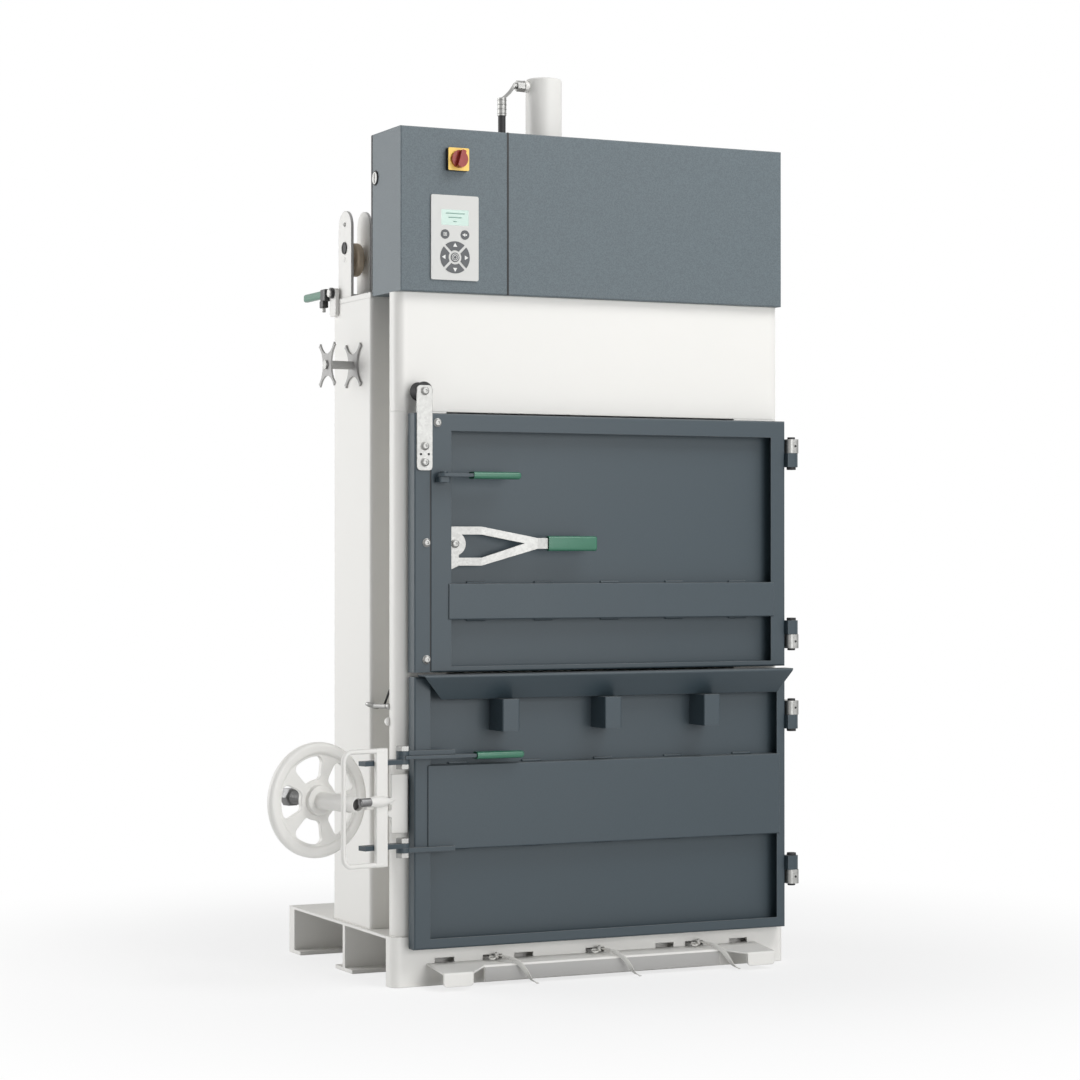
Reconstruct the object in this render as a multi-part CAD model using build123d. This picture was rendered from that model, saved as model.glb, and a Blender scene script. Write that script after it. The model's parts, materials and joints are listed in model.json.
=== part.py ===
from build123d import *
from math import cos, radians, sin
import os

# Vertical recycling baler. Millimetres, +Z up, +X to the machine's right, +Y to its back.
# The origin is the press axis at floor level.

# Shared sizes
cut = 1.0                     # overrun of every cut
fit = 0.3                     # gap between faces that move past each other
running = 0.05                # radial clearance of a shaft in its hole
sheet = 5.0                   # frame sheet
thin_sheet = 3.0              # door and hood sheet
fold = 4.0                    # outer radius of a bent edge

# Main frame
press_to_front = 252.0        # press axis to the front face of the posts
post_half = 466.0             # half the machine's width
post_width = 116.0
post_depth = 36.0
post_corner = 22.0
base_over = 10.0              # base beyond the posts at each side
base_height = 106.0
chamber_back = 250.0
header_bottom = 1215.0
header_height = 253.0
front_y = -press_to_front
base_half = post_half + base_over
chamber_half = post_half - post_width
header_top = header_bottom + header_height

# Base
beam_proud = 6.0              # front beam in front of the posts
beam_depth = 37.0
beam_corner = 18.0
top_plate = 6.0
base_behind = 109.0           # base behind the chamber
mid_web = 14.0
mid_offset = 20.0             # middle web behind the press axis
foot_flange = 100.0
foot_thick = 8.0
rear_beam_depth = 33.0
rear_lip = 38.0
slot_width = 45.0
slot_height = 10.0
slot_below_top = 53.0
slot_shares = (-0.75, -0.36, 0.36, 0.75)    # of base_half
strap_outlet_share = 0.515                  # of base_half
base_rear = chamber_back + base_behind
beam_front = front_y - beam_proud
beam_back = beam_front + beam_depth
slot_level = base_height - slot_below_top
strap_x = base_half * strap_outlet_share

# Columns, chamber and crossbeam
column_depth = 218.0
column_wall = 6.0
column_corner = 9.0
column_drop = 2.0             # column below the header's top
web_height = 90.0
cross_plate = 12.0
cross_web = 10.0
floor_thick = 10.0
groove_width = 22.0
groove_depth = 5.0
rib_depth = 28.0
rib_height = 46.0
rib_shares = (0.18, 0.5, 0.82)              # of the chamber wall's height
column_top = header_top - column_drop
wall_outer = chamber_half + sheet
wall_top = column_top - web_height
cross_top = column_top + cross_plate

# Hood
hood_inset = 3.5              # hood narrower than the posts at each side
hood_height = 348.0
hood_depth = 158.0
hood_proud = 17.0
cabinet_width = 248.5
hood_gap = 1.0
hood_fold = 2.5
hood_half = post_half - hood_inset
hood_seam = cabinet_width - hood_half
hood_front = front_y - hood_proud
hood_back = hood_front + hood_depth
hood_top = header_top + hood_height

# Quarter-turn lock in the cabinet's side
lock_bore = 20.0
lock_rim = 26.0
lock_rim_thick = 2.5
lock_slot = 4.0
lock_shank = 9.0
lock_from_back = 18.0
lock_from_top = 95.0
lock_y = hood_back - lock_from_back
lock_z = hood_top - lock_from_top

# Main switch
switch_side = 48.0
switch_body = 12.0
switch_plate_thick = 2.0
switch_in = 127.5             # from the hood's left side, as panel_in
switch_from_top = 66.0
switch_corner = 3.0
knob_diameter = 37.0
knob_disc = 7.0
knob_grip = 12.0
knob_grip_width = 11.0
knob_spigot = 16.0
knob_grip_tilt = 15.0
switch_x = switch_in - hood_half
switch_z = hood_top - switch_from_top

# Control panel
panel_width = 110.0
panel_height = 180.0
panel_thick = 4.0
panel_corner = 4.0
panel_in = 123.0
panel_bottom = 26.0           # panel above the hood's lower edge
display_width = 63.0
display_height = 33.0
display_drop = 47.0           # below the panel's top edge, as the next two
round_key_drop = 83.0
key_ring_drop = 131.5
pocket = 1.2
key_proud = 0.8
round_key = 20.0
round_key_spread = 23.0
key_ring_outer = 34.0
key_ring_inner = 15.0
key_ring_gap = 8.0
panel_x = panel_in - hood_half
panel_y = hood_front - panel_thick
panel_z = header_top + panel_bottom
panel_top = panel_z + panel_height

# Platen, rod and press cylinder
press_stroke = 560.0
platen_rest = 7.0             # platen above the header's lower edge
platen_gap = 6.0
platen_plate = 12.0
platen_height = 70.0
platen_wall = 8.0
platen_boss = 110.0
rod = 45.0
rod_foot = 84.0
rod_foot_thick = 12.0
rod_foot_gap = 16.0           # rod's foot under the cylinder
barrel = 82.0
bore = 63.0
barrel_cap = 18.0
barrel_chamfer = 3.0
gland = 30.0
piston = 35.0
piston_gap = 2.0              # piston under the cap at rest
stroke_spare = 20.0
flange_side = 160.0
flange_thick = 18.0
flange_bolt = 16.0
flange_bolt_head = 10.0
flange_bolt_pitch = 124.0
platen_bottom = header_bottom + platen_rest
platen_top = platen_bottom + platen_height
barrel_bottom = platen_top + rod_foot_thick + rod_foot_gap
barrel_length = gland + press_stroke + stroke_spare + piston + piston_gap + barrel_cap
barrel_top = barrel_bottom + barrel_length

# Hydraulics
port_boss = 26.0
port_reach = 50.0
port_drop = 18.0
nut_flats = 22.0
nut_length = 18.0
elbow_tube = 14.0
elbow_radius = 30.0
elbow_lead = 6.0
ferrule = 20.0
ferrule_length = 40.0
hose = 17.0
hose_nut_height = 16.0
tank_clear = 6.0              # tank beside the press flange
tank_from_bracket = 67.0      # and beside the roller's bracket
tank_depth = 196.0
tank_height = 122.0
tank_corner = 10.0
filler = 46.0
filler_height = 26.0
filler_share = 0.14           # of the tank's length
motor_size_share = 0.55       # of the tank's length, as the next one
motor_share = 0.41
motor_height = 185.0
fin_depth = 6.0
fin_count = 6
fin_thick = 7.0
motor_cap = 30.0
valve_width = 44.0
valve_depth = 56.0
valve_height = 60.0
port_z = barrel_top - port_drop
hose_x = -(port_reach + nut_length + elbow_lead + elbow_radius)
elbow_end_z = port_z - elbow_radius
tank_top = cross_top + tank_height
valve_top = tank_top + valve_height

# Guide roller above the left column
bracket_inset = 4.0           # bracket inside the column's outer face
bracket_width = 50.0
bracket_sheet = 6.0
bracket_depth = 75.0
bracket_height = 192.0
roller_y = 51.0
roller_rise = 85.0            # roller's axis above the crossbeam
roller = 74.0
roller_width = 18.0
roller_groove = 7.0
roller_pin = 12.0
roller_head = 22.0
roller_head_thick = 6.0
bracket_x = (bracket_inset - post_half, bracket_inset - post_half + bracket_width)
roller_z = cross_top + roller_rise
tank_left = bracket_x[1] + tank_from_bracket
tank_right = -flange_side / 2 - tank_clear
tank_length = tank_right - tank_left
motor = tank_length * motor_size_share

# Lever with green grip behind the left column
ejector_y = 93.0
ejector_rise = 14.0           # pivot above the crossbeam
ejector_plate = 8.0
ejector_plate_depth = 36.0
ejector_plate_height = 62.0
ejector_pin = 10.0
ejector_pin_head = 18.0
ejector_bar = 6.0
ejector_eye = 24.0
ejector_bar_height = 10.0
ejector_bar_length = 47.0
grip_thick = 14.0
grip_wall = 4.0
ejector_grip_length = 111.0
grip_corner = 5.0
ejector_z = cross_top + ejector_rise

# Star-shaped strap holder on the left column
star_y = -15.0
star_drop = 141.0             # below the column's top
star_points = 4
star_tip = 62.0
star_waist = 24.0
star_tip_half = 5.0
star_sheet = 4.0
star_spacing = 60.0
star_tube = 18.0
star_stud = 10.0
star_head = 20.0
star_head_thick = 5.0
star_z = column_top - star_drop

# Doors
door_proud = 42.0             # door face in front of the posts
door_depth = 34.0
door_left_inset = 24.5        # inside the posts' outer faces
door_right_inset = 8.5
door_top_gap = 5.0            # under the header
door_under_base = 24.0        # below the base's top
door_split = 664.0
door_split_gap = 9.0
strip_width = 36.5
upper_flanges = (48.0, 36.5, 12.0, 37.0)    # left, right, bottom and top
lower_flanges = (36.5, 21.5, 22.0, 16.0)
upper_bar_shares = (0.2033, 0.3425)         # stiffener's edges, of its door's height
lower_bar_shares = (0.3648, 0.6754)
bar_overlap = 6.0             # stiffener face on the flanges
notch_width = 48.0
notch_depth = 12.0
notch_shares = (-0.82, -0.41, 0.0, 0.41, 0.82)   # of the stiffener's half length
door_left = door_left_inset - post_half
door_right = post_half - door_right_inset
pan_left = door_left + strip_width
door_front = front_y - door_proud
door_back = door_front + door_depth
bar_front = door_front - thin_sheet
upper_z = (door_split, header_bottom - door_top_gap)
lower_z = (base_height - door_under_base, door_split - door_split_gap)
upper_height = upper_z[1] - upper_z[0]
lower_height = lower_z[1] - lower_z[0]
upper_bar_z = tuple(upper_z[0] + upper_height * share for share in upper_bar_shares)
lower_bar_z = tuple(lower_z[0] + lower_height * share for share in lower_bar_shares)

# Hinges
hinge_out = 8.5               # pin axis outside the posts
hinge_proud = 40.0            # pin axis in front of the posts
hinge_half = 14.5
hinge_round = 10.0
hinge_pin = 14.0
hinge_cap = 20.0
hinge_cap_thick = 5.0
hinge_arm_back = 34.0
hinge_leaf = 31.0
upper_hinge_drop = 71.0       # split of the hinge below its door's top
upper_hinge_rise = 70.0       # and above its door's lower edge
lower_hinge_drop = 100.0
lower_hinge_rise = 127.0
hinge_x = post_half + hinge_out
hinge_y = front_y - hinge_proud
upper_hinge_splits = (upper_z[1] - upper_hinge_drop, upper_z[0] + upper_hinge_rise)
lower_hinge_splits = (lower_z[1] - lower_hinge_drop, lower_z[0] + lower_hinge_rise)

# Lip and box brackets of the lower door
lip_reach = 41.0
lip_above = 5.0               # over the lower door's top
lip_height = 54.0
lip_end_inset = 5.5
lip_left_mitre = 57.0
lip_right_mitre = 21.5
lip_sheet = 4.0
box_width = 40.0
box_reach = 38.0
box_drop = 68.0
box_sheet = 4.0
box_pitch_share = 0.27        # of the door's width
lip_high = lower_z[1] + lip_above
lip_low = lip_high - lip_height
box_pitch = (door_right - door_left) * box_pitch_share
box_middle = (door_left + door_right) / 2

# Interlock plate and its roller
interlock_in = 4.5            # from the upper door's free edge
interlock_width = 35.0
interlock_below = 121.0       # below the door's top, and above it
interlock_above = 58.0
interlock_sheet = 4.0
interlock_corner = 8.0
interlock_pin_drop = 12.0
interlock_roller_size = 40.0
interlock_roller_length = 30.0
interlock_waist = 6.0
interlock_pin = 10.0
interlock_bolt_rises = (17.0, 51.0)         # above the plate's lower end
bolt_head = 14.0
bolt_head_thick = 4.0
strip_bolt_in = 27.5          # from the door's free edge
strip_bolt_shares = (0.05, 0.5)             # of the door's height
corner_bolt_in = 52.5
corner_bolt_drop = 20.0
interlock_x = (door_left + interlock_in, door_left + interlock_in + interlock_width)
interlock_z = (upper_z[1] - interlock_below, upper_z[1] + interlock_above)

# Straight catch lever of the upper door
catch_in = 59.5               # from the door's free edge, as fork_in
catch_proud = 60.0            # pivot in front of the posts, as fork_proud
catch_drop_share = 0.2454     # of the door's height, below its top
catch_bar = 7.0
catch_eye = 28.0
catch_bar_width = 26.0
catch_bar_length = 63.0
catch_grip_length = 111.0
catch_block = 24.0
catch_block_height = 12.0
lever_pin = 8.0
lever_pin_head = 16.0
lever_pin_head_thick = 4.0
catch_x = door_left + catch_in
catch_y = front_y - catch_proud
catch_z = upper_z[1] - upper_height * catch_drop_share

# Fork lever of the upper door
fork_in = 95.5
fork_proud = 33.0
fork_rise_share = 0.4872      # of the door's height, its middle above the lower edge
fork_half_share = 0.076       # of the door's height
fork_pivot_rise = 5.0         # pivot above the fork's middle
fork_sheet = 6.0
fork_disc = 50.0
fork_boss = 22.0
fork_left = 21.0              # plate beside the pivot, to the left and right
fork_right = 9.0
fork_foot = 13.0
fork_straight = 62.0
fork_slope = 122.0
fork_neck = 25.0
fork_grip_length = 117.0
fork_forward = 20.0
fork_arm = 17.0
fork_tip_rise = 6.0
fork_neck_half = 11.5
fork_bar_half = 12.0
fork_x = door_left + fork_in
fork_y = front_y - fork_proud
fork_z = upper_z[0] + upper_height * fork_rise_share
fork_half = upper_height * fork_half_share
fork_pivot_z = fork_z + fork_pivot_rise

# Lock of the lower door
bolt_out = 5.0                # pivot axis outside the posts
bolt_proud = 49.0             # and in front of them
lock_bolt = 16.0
lock_bolt_flats = 26.0
lock_bolt_head = 10.0
lock_tilt = 13.0              # degrees, yoke swung out of the door's plane
lock_eye = 28.0
upper_stack_rise = 23.0       # brackets from the stiffener's upper and lower edge
lower_stack_rise = 8.0
stack_plate = 10.0
lever_plate = 7.0
lock_bracket_length = 116.0
lock_bracket_thick = 12.0
lock_foot_width = 26.0
lock_arm_length = 104.0
lock_arm_width = 24.0
yoke_x = (-167.0, -53.0)      # in the lock's own plan, from the pivot axis
yoke_below = 130.5            # from the spindle's axis
yoke_above = 115.5
yoke_thick = 10.0
yoke_right_leg = 31.0
yoke_left_leg = 17.0
yoke_bar = 14.0
yoke_corner = 9.0
spindle_x = -116.0
spindle = 25.0
collar = 34.0
collar_back = 25.0
collar_link = 24.0
boss = 21.0                   # pointed boss across the yoke's right leg
boss_x = (-100.0, -37.0)
wheel_back = 147.0            # wheel's middle behind the pivot
wheel_radius = 122.0
wheel_rim = 26.0
wheel_rim_thick = 22.0
wheel_rim_round = 9.0
wheel_web = 11.0
wheel_hub = 64.0
wheel_hub_thick = 34.0
wheel_windows = 5
window_inner = 43.0
window_lap = 3.0              # web left standing inside the rim
window_angle = 50.0
window_round = 13.0
wheel_sleeve = 36.0
spindle_front = 8.0           # in front of the collar
spindle_back = 262.0
spindle_nut = 36.0
spindle_nut_length = 26.0
lock_lever_length = 163.0
lock_lever_width = 20.0
lock_grip_length = 110.0
keeper_out = 16.0             # keeper outside the post's face
keeper_gap = 3.5              # keeper beside the door
keeper_below = 68.5           # from the spindle's axis
keeper_above = 54.5
keeper_thick = 14.0
keeper_nub = 16.0
keeper_nub_shares = (0.33, 0.55)            # of the keeper's height
bolt_x = -post_half - bolt_out
bolt_y = front_y - bolt_proud
upper_stack = lower_bar_z[1] + upper_stack_rise
lower_stack = lower_bar_z[0] + lower_stack_rise
spindle_z = (lower_stack + upper_stack) / 2
yoke_z = (spindle_z - yoke_below, spindle_z + yoke_above)
keeper_x = (-post_half - keeper_out, door_left - keeper_gap)
keeper_z = (spindle_z - keeper_below, spindle_z + keeper_above)
arm_front_y = -lock_arm_width / 2

# Foot bar in front of the base
bar_inset = 68.0              # bar's ends inside the posts' outer faces
tab_width = 68.0
tab_reach = 91.0
bar_reach = 46.0
bar_level = 48.0
bar_fall = 0.105              # fall of the sloping plate for each millimetre forward
bar_sheet = 4.0
bar_foot = 9.0                # flanges above the floor
tab_corner = 8.0
bar_half = post_half - bar_inset

# Strap tails, each held at the beam's rear wall, led out of its slot, over the foot bar and to the floor
strap_tube = 4.0
strap_start = beam_depth - sheet
strap_route = ((0, strap_start, 53), (0, 6, 53), (2, -12, 57), (8, -28, 58), (20, -42, 55), (34, -55, 47),
               (44, -64, 35), (51, -70, 21), (57, -76, 9), (66, -88, 3.5))
strap_bend_share = 0.45       # of the shorter run beside a bend, taken up by its arc
strap_names = ("left_strap", "middle_strap", "right_strap")


def span(x, y, z):
    """Block between the low and high ends of x, y and z."""
    size = [high - low for low, high in (x, y, z)]
    middle = [(low + high) / 2 for low, high in (x, y, z)]
    return Pos(*middle) * Box(*size)


def across(half, middle=0):
    return (middle - half, middle + half)


def inset(pair, by):
    return (pair[0] + by, pair[1] - by)


def rod_x(diameter, x, y, z):
    return Pos((x[0] + x[1]) / 2, y, z) * Rot(0, 90, 0) * Cylinder(diameter / 2, x[1] - x[0])


def rod_y(diameter, x, y, z):
    return Pos(x, (y[0] + y[1]) / 2, z) * Rot(90, 0, 0) * Cylinder(diameter / 2, y[1] - y[0])


def rod_z(diameter, x, y, z):
    return Pos(x, y, (z[0] + z[1]) / 2) * Cylinder(diameter / 2, z[1] - z[0])


def hex_bar(flats, length):
    """Hexagon standing on the origin along +Z."""
    return extrude(RegularPolygon(flats / 2, 6, major_radius=False), length)


def prism_x(points, x):
    """Outline of (y, z) points pushed along X."""
    outline = Polyline([(x[0], y, z) for y, z in points], close=True)
    return extrude(make_face(outline), x[1] - x[0], dir=(1, 0, 0))


def prism_y(points, y):
    """Outline of (x, z) points pushed along Y."""
    outline = Polyline([(x, y[0], z) for x, z in points], close=True)
    return extrude(make_face(outline), y[1] - y[0], dir=(0, 1, 0))


def prism_z(points, z):
    """Outline of (x, y) points pushed along Z."""
    outline = Polyline([(x, y, z[0]) for x, y in points], close=True)
    return extrude(make_face(outline), z[1] - z[0], dir=(0, 0, 1))


def rounded(part, axis, radius):
    return fillet(part.edges().filter_by(axis), radius)


def front_rounded(part, radius):
    """Round the upright edges of the face that looks to the front."""
    return fillet(part.edges().filter_by(Axis.Z).group_by(Axis.Y)[0], radius)


def twin(part):
    """The part and its mirror image at the other side of the machine."""
    return Compound(children=[part, mirror(part, about=Plane.YZ)])


def group(parts):
    return Compound(children=list(parts))


def folded_tray(x, z, flanges):
    """Door tray: back sheet, four walls and flanges turned in around its mouth."""
    y = (door_front, door_back)
    outer = span(x, y, z)
    outer = fillet(outer.faces().sort_by(Axis.Y)[0].edges(), fold)
    outer = fillet(outer.faces().sort_by(Axis.Y)[-1].edges(), fold)
    cavity = span(inset(x, thin_sheet), inset(y, thin_sheet), inset(z, thin_sheet))
    mouth_x, mouth_z = tray_mouth(x, z, flanges)
    return outer - cavity - span(mouth_x, (y[0] - cut, y[0] + thin_sheet + cut), mouth_z)


def tray_mouth(x, z, flanges):
    left, right, bottom, top = flanges
    return (x[0] + left, x[1] - right), (z[0] + bottom, z[1] - top)


# Base and frame

def base_front_beam():
    y = (beam_front, beam_back)
    outer = front_rounded(span(across(base_half), y, (0, base_height)), beam_corner)
    hollow_z = (-cut, base_height - sheet)
    hollow = span(across(base_half - sheet), inset(y, sheet), hollow_z)
    beam = outer - front_rounded(hollow, beam_corner - sheet)
    centres = [base_half * share for share in slot_shares] + [-strap_x, 0, strap_x]
    for x in centres:
        slot_z = across(slot_height / 2, slot_level)
        beam -= span(across(slot_width / 2, x), (beam_front - cut, beam_front + sheet + cut), slot_z)
    return beam


def base_frame():
    x = across(base_half)
    under = base_height - top_plate
    plate = span(x, (beam_back, base_rear), (under, base_height))
    middle = span(x, across(mid_web / 2, mid_offset), (foot_thick, under))
    middle += span(x, across(foot_flange / 2, mid_offset), (0, foot_thick))
    rear_y = (base_rear - rear_beam_depth, base_rear)
    rear = span(x, rear_y, (0, under))
    rear -= span(inset(x, sheet), inset(rear_y, sheet), (-cut, under - sheet))
    rear += span(x, (rear_y[0] - rear_lip, rear_y[0]), (0, foot_thick))
    return group([plate, middle, rear])


def corner_fold(part, radius):
    """Round the post's outer front edge."""
    return fillet(part.edges().filter_by(Axis.Z).group_by(Axis.X)[-1].sort_by(Axis.Y)[0], radius)


def front_posts():
    x = (chamber_half, post_half)
    y = (front_y, front_y + post_depth)
    z = (base_height, header_bottom)
    outer = corner_fold(span(x, y, z), post_corner)
    hollow = span(inset(x, sheet), (y[0] + sheet, y[1] + cut), (z[0] - cut, z[1] + cut))
    return twin(outer - corner_fold(hollow, post_corner - sheet))


def header():
    x = across(post_half)
    y = (front_y, front_y + post_depth)
    z = (header_bottom, header_top)
    outer = front_rounded(span(x, y, z), post_corner)
    hollow = span(inset(x, sheet), (y[0] + sheet, y[1] + cut), inset(z, sheet))
    return outer - front_rounded(hollow, post_corner - sheet)


def side_columns():
    x = (wall_outer, post_half)
    z = (base_height, column_top)
    outer = span(x, across(column_depth / 2), z)
    outer = fillet(outer.edges().filter_by(Axis.Z).group_by(Axis.X)[-1], column_corner)
    inside = span((x[0] - cut, x[1] - column_wall), across(column_depth / 2 - column_wall),
                  (z[0] - cut, z[1] + cut))
    return twin(outer - inside)


def chamber_walls():
    z = (base_height, wall_top)
    side = span((chamber_half, wall_outer), (front_y + post_depth, chamber_back), z)
    rear_y = (chamber_back, chamber_back + sheet)
    rear = span(across(wall_outer), rear_y, z)
    for share in rib_shares:
        rib_z = across(rib_height / 2, z[0] + (z[1] - z[0]) * share)
        rib = span(across(wall_outer), (rear_y[1], rear_y[1] + rib_depth), rib_z)
        rib -= span(across(wall_outer + cut), (rear_y[1] - cut, rear_y[1] + rib_depth - sheet),
                    inset(rib_z, sheet))
        rear += rib
    return group([side, mirror(side, about=Plane.YZ), rear])


def chamber_floor():
    z = (base_height, base_height + floor_thick)
    plate = span(across(chamber_half), (front_y + sheet, chamber_back), z)
    for x in (-strap_x, 0, strap_x):
        plate -= span(across(groove_width / 2, x), (front_y, chamber_back + cut),
                      (z[1] - groove_depth, z[1] + cut))
    return plate


def top_crossbeam():
    plate = span(across(post_half), across(column_depth / 2), (column_top, cross_top))
    plate -= rod_z(barrel + 2 * fit, 0, 0, (column_top - cut, cross_top + cut))
    web_y = (column_depth / 2 - cross_web, column_depth / 2)
    web = span(across(wall_outer), web_y, (wall_top, column_top))
    return plate + web + mirror(web, about=Plane.XZ)


# Hood

def hood_shell(x):
    y = (hood_front, hood_back)
    z = (header_top, hood_top)
    outer = span(x, y, z)
    outer = fillet(outer.faces().sort_by(Axis.Y)[0].edges(), hood_fold)
    return outer - span(inset(x, thin_sheet), (y[0] + thin_sheet, y[1] + cut), inset(z, thin_sheet))


def control_cabinet():
    shell = hood_shell((-hood_half, hood_seam - hood_gap / 2))
    hole = rod_x(lock_bore + 2 * running, (-hood_half - cut, -hood_half + thin_sheet + cut),
                 lock_y, lock_z)
    return shell - hole


def hydraulic_cover():
    return hood_shell((hood_seam + hood_gap / 2, hood_half))


def hood_lock():
    face = -hood_half - fit - lock_rim_thick
    rim = rod_x(lock_rim, (face, face + lock_rim_thick), lock_y, lock_z)
    shank = rod_x(lock_bore, (face, face + lock_rim_thick + lock_shank), lock_y, lock_z)
    slot_x = (face - cut, face + lock_rim_thick / 2)
    return rim + shank - span(slot_x, across(lock_slot / 2, lock_y), across(lock_bore / 2, lock_z))


def switch_square(y):
    half = switch_side / 2
    return rounded(span(across(half, switch_x), y, across(half, switch_z)), Axis.Y, switch_corner)


def switch_base():
    return switch_square((hood_front - switch_body, hood_front))


def switch_plate():
    back = hood_front - switch_body
    y = (back - switch_plate_thick, back)
    return switch_square(y) - rod_y(knob_spigot + 2 * running, switch_x, inset(y, -cut), switch_z)


def switch_knob():
    """Round knob with a raised grip bar, turned a little past upright."""
    back = hood_front - switch_body
    face = back - switch_plate_thick - fit
    disc = rod_y(knob_diameter, switch_x, (face - knob_disc, face), switch_z)
    spigot = rod_y(knob_spigot, switch_x, (face - knob_disc / 2, back - fit), switch_z)
    grip = span(across(knob_grip_width / 2), (-knob_grip, 0), across(knob_diameter / 2))
    grip = rounded(grip, Axis.Y, knob_grip_width / 3)
    return disc + spigot + Pos(switch_x, face - knob_disc, switch_z) * Rot(0, knob_grip_tilt, 0) * grip


def key_sector():
    """One arrow key of the ring, pointing along +Y."""
    inner, outer = key_ring_inner, key_ring_outer
    ring = Circle(outer) - Circle(inner)
    wedge = make_face(Polyline([(0, key_ring_gap / 2), (outer, outer + key_ring_gap / 2),
                                (-outer, outer + key_ring_gap / 2)], close=True))
    return ring & wedge


def key_plan():
    """All seven keys, flat, with the ring's middle at the origin."""
    keys = [Rot(0, 0, quarter * 90) * key_sector() for quarter in range(4)]
    keys.append(Circle(round_key / 2))
    rise = key_ring_drop - round_key_drop
    keys += [Pos(x, rise) * Circle(round_key / 2) for x in (-round_key_spread, round_key_spread)]
    return keys


def on_panel(part, drop):
    """Stand a flat part up on the control panel's face, drop below its top edge."""
    return Pos(panel_x, panel_y, panel_top - drop) * Rot(90, 0, 0) * part


def control_panel():
    plate = span(across(panel_width / 2, panel_x), (panel_y, hood_front), (panel_z, panel_top))
    plate = rounded(plate, Axis.Y, panel_corner)
    window = extrude(Rectangle(display_width, display_height), -pocket)
    plate -= on_panel(window, display_drop)
    for key in key_plan():
        plate -= on_panel(extrude(key, -pocket), key_ring_drop)
    return plate


def panel_display():
    return on_panel(extrude(Rectangle(display_width, display_height), -pocket), display_drop)


def panel_keys():
    keys = []
    for key in key_plan():
        cap = Pos(0, 0, -pocket) * extrude(key, pocket + key_proud)
        keys.append(on_panel(cap, key_ring_drop))
    return group(keys)


# Press and hydraulics

def press_barrel():
    """Cylinder tube with its cap, its gland, its mounting flange and its port."""
    tube = rod_z(barrel, 0, 0, (barrel_bottom, barrel_top))
    tube = chamfer(tube.edges().sort_by(Axis.Z)[-1], barrel_chamfer)
    flange = span(across(flange_side / 2), across(flange_side / 2), (cross_top, cross_top + flange_thick))
    tube += rounded(flange, Axis.Z, barrel_chamfer)
    tube += rod_x(port_boss, (-port_reach, -bore / 2), 0, port_z)
    tube -= rod_z(bore, 0, 0, (barrel_bottom + gland, barrel_top - barrel_cap))
    return tube - rod_z(rod + 2 * running, 0, 0, (barrel_bottom - cut, barrel_bottom + gland + cut))


def piston_rod():
    top = barrel_top - barrel_cap - piston_gap
    foot = platen_top
    part = rod_z(bore - 2 * running, 0, 0, (top - piston, top))
    part += rod_z(rod, 0, 0, (foot, top - piston))
    return part + rod_z(rod_foot, 0, 0, (foot, foot + rod_foot_thick))


def platen():
    """Press plate: grooved face, rim walls, cross ribs and a boss for the rod."""
    x = across(chamber_half - platen_gap)
    y = inset((front_y + sheet, chamber_back), platen_gap)
    z = (platen_bottom, platen_top)
    part = span(x, y, z)
    part -= span(inset(x, platen_wall), inset(y, platen_wall), (z[0] + platen_plate, z[1] + cut))
    inner_y = inset(y, platen_wall / 2)
    for rib_x in (-strap_x, strap_x):
        part += span(across(platen_wall / 2, rib_x / 2), inner_y, z)
    part += span(inset(x, platen_wall / 2), across(platen_wall / 2), z)
    part += rod_z(platen_boss, 0, 0, z)
    for groove_x in (-strap_x, 0, strap_x):
        part -= span(across(groove_width / 2, groove_x), (y[0] - cut, y[1] + cut),
                     (z[0] - cut, z[0] + groove_depth))
    return part


def hose_fitting():
    """Union nut, bent tube and ferrule at the port, and the nut on the valve block."""
    nut = Pos(-port_reach, 0, port_z) * Rot(0, -90, 0) * hex_bar(nut_flats, nut_length)
    nut_end = -port_reach - nut_length
    start = (nut_end, 0, port_z)
    bend = (nut_end - elbow_lead, 0, port_z)
    end = (hose_x, 0, elbow_end_z)
    route = Line(start, bend) + RadiusArc(bend, end, -elbow_radius)
    tube = sweep(Plane(start, z_dir=(-1, 0, 0)) * Circle(elbow_tube / 2), path=route)
    crimp = rod_z(ferrule, hose_x, 0, (elbow_end_z - ferrule_length, elbow_end_z))
    low_nut = Pos(hose_x, 0, valve_top) * hex_bar(nut_flats, hose_nut_height)
    return group([nut, tube, crimp, low_nut])


def pressure_hose():
    return rod_z(hose, hose_x, 0, (valve_top + hose_nut_height, elbow_end_z - ferrule_length))


def oil_tank():
    z = (cross_top, tank_top)
    tank = rounded(span((tank_left, tank_right), across(tank_depth / 2), z), Axis.Z, tank_corner)
    cap_x = tank_left + tank_length * filler_share
    cap_y = -tank_depth / 2 + filler
    cap = rod_z(filler, cap_x, cap_y, (tank_top, tank_top + filler_height))
    block = span((tank_right - valve_width, tank_right), across(valve_depth / 2), (tank_top, valve_top))
    return group([tank, cap, block])


def pump_motor():
    """Upright motor with cooling fins round its body and a plain end cap."""
    x = tank_left + tank_length * motor_share
    y = tank_depth / 8
    z = (tank_top, tank_top + motor_height)
    part = rod_z(motor - 2 * fin_depth, x, y, z)
    part += rod_z(motor, x, y, (z[0], z[0] + motor_cap))
    part += rod_z(motor, x, y, (z[1] - motor_cap, z[1]))
    pitch = (motor_height - 2 * motor_cap) / fin_count
    for count in range(fin_count):
        low = z[0] + motor_cap + pitch * (count + 0.5) - fin_thick / 2
        part += rod_z(motor, x, y, (low, low + fin_thick))
    return part


# Fittings on the left column

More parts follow.
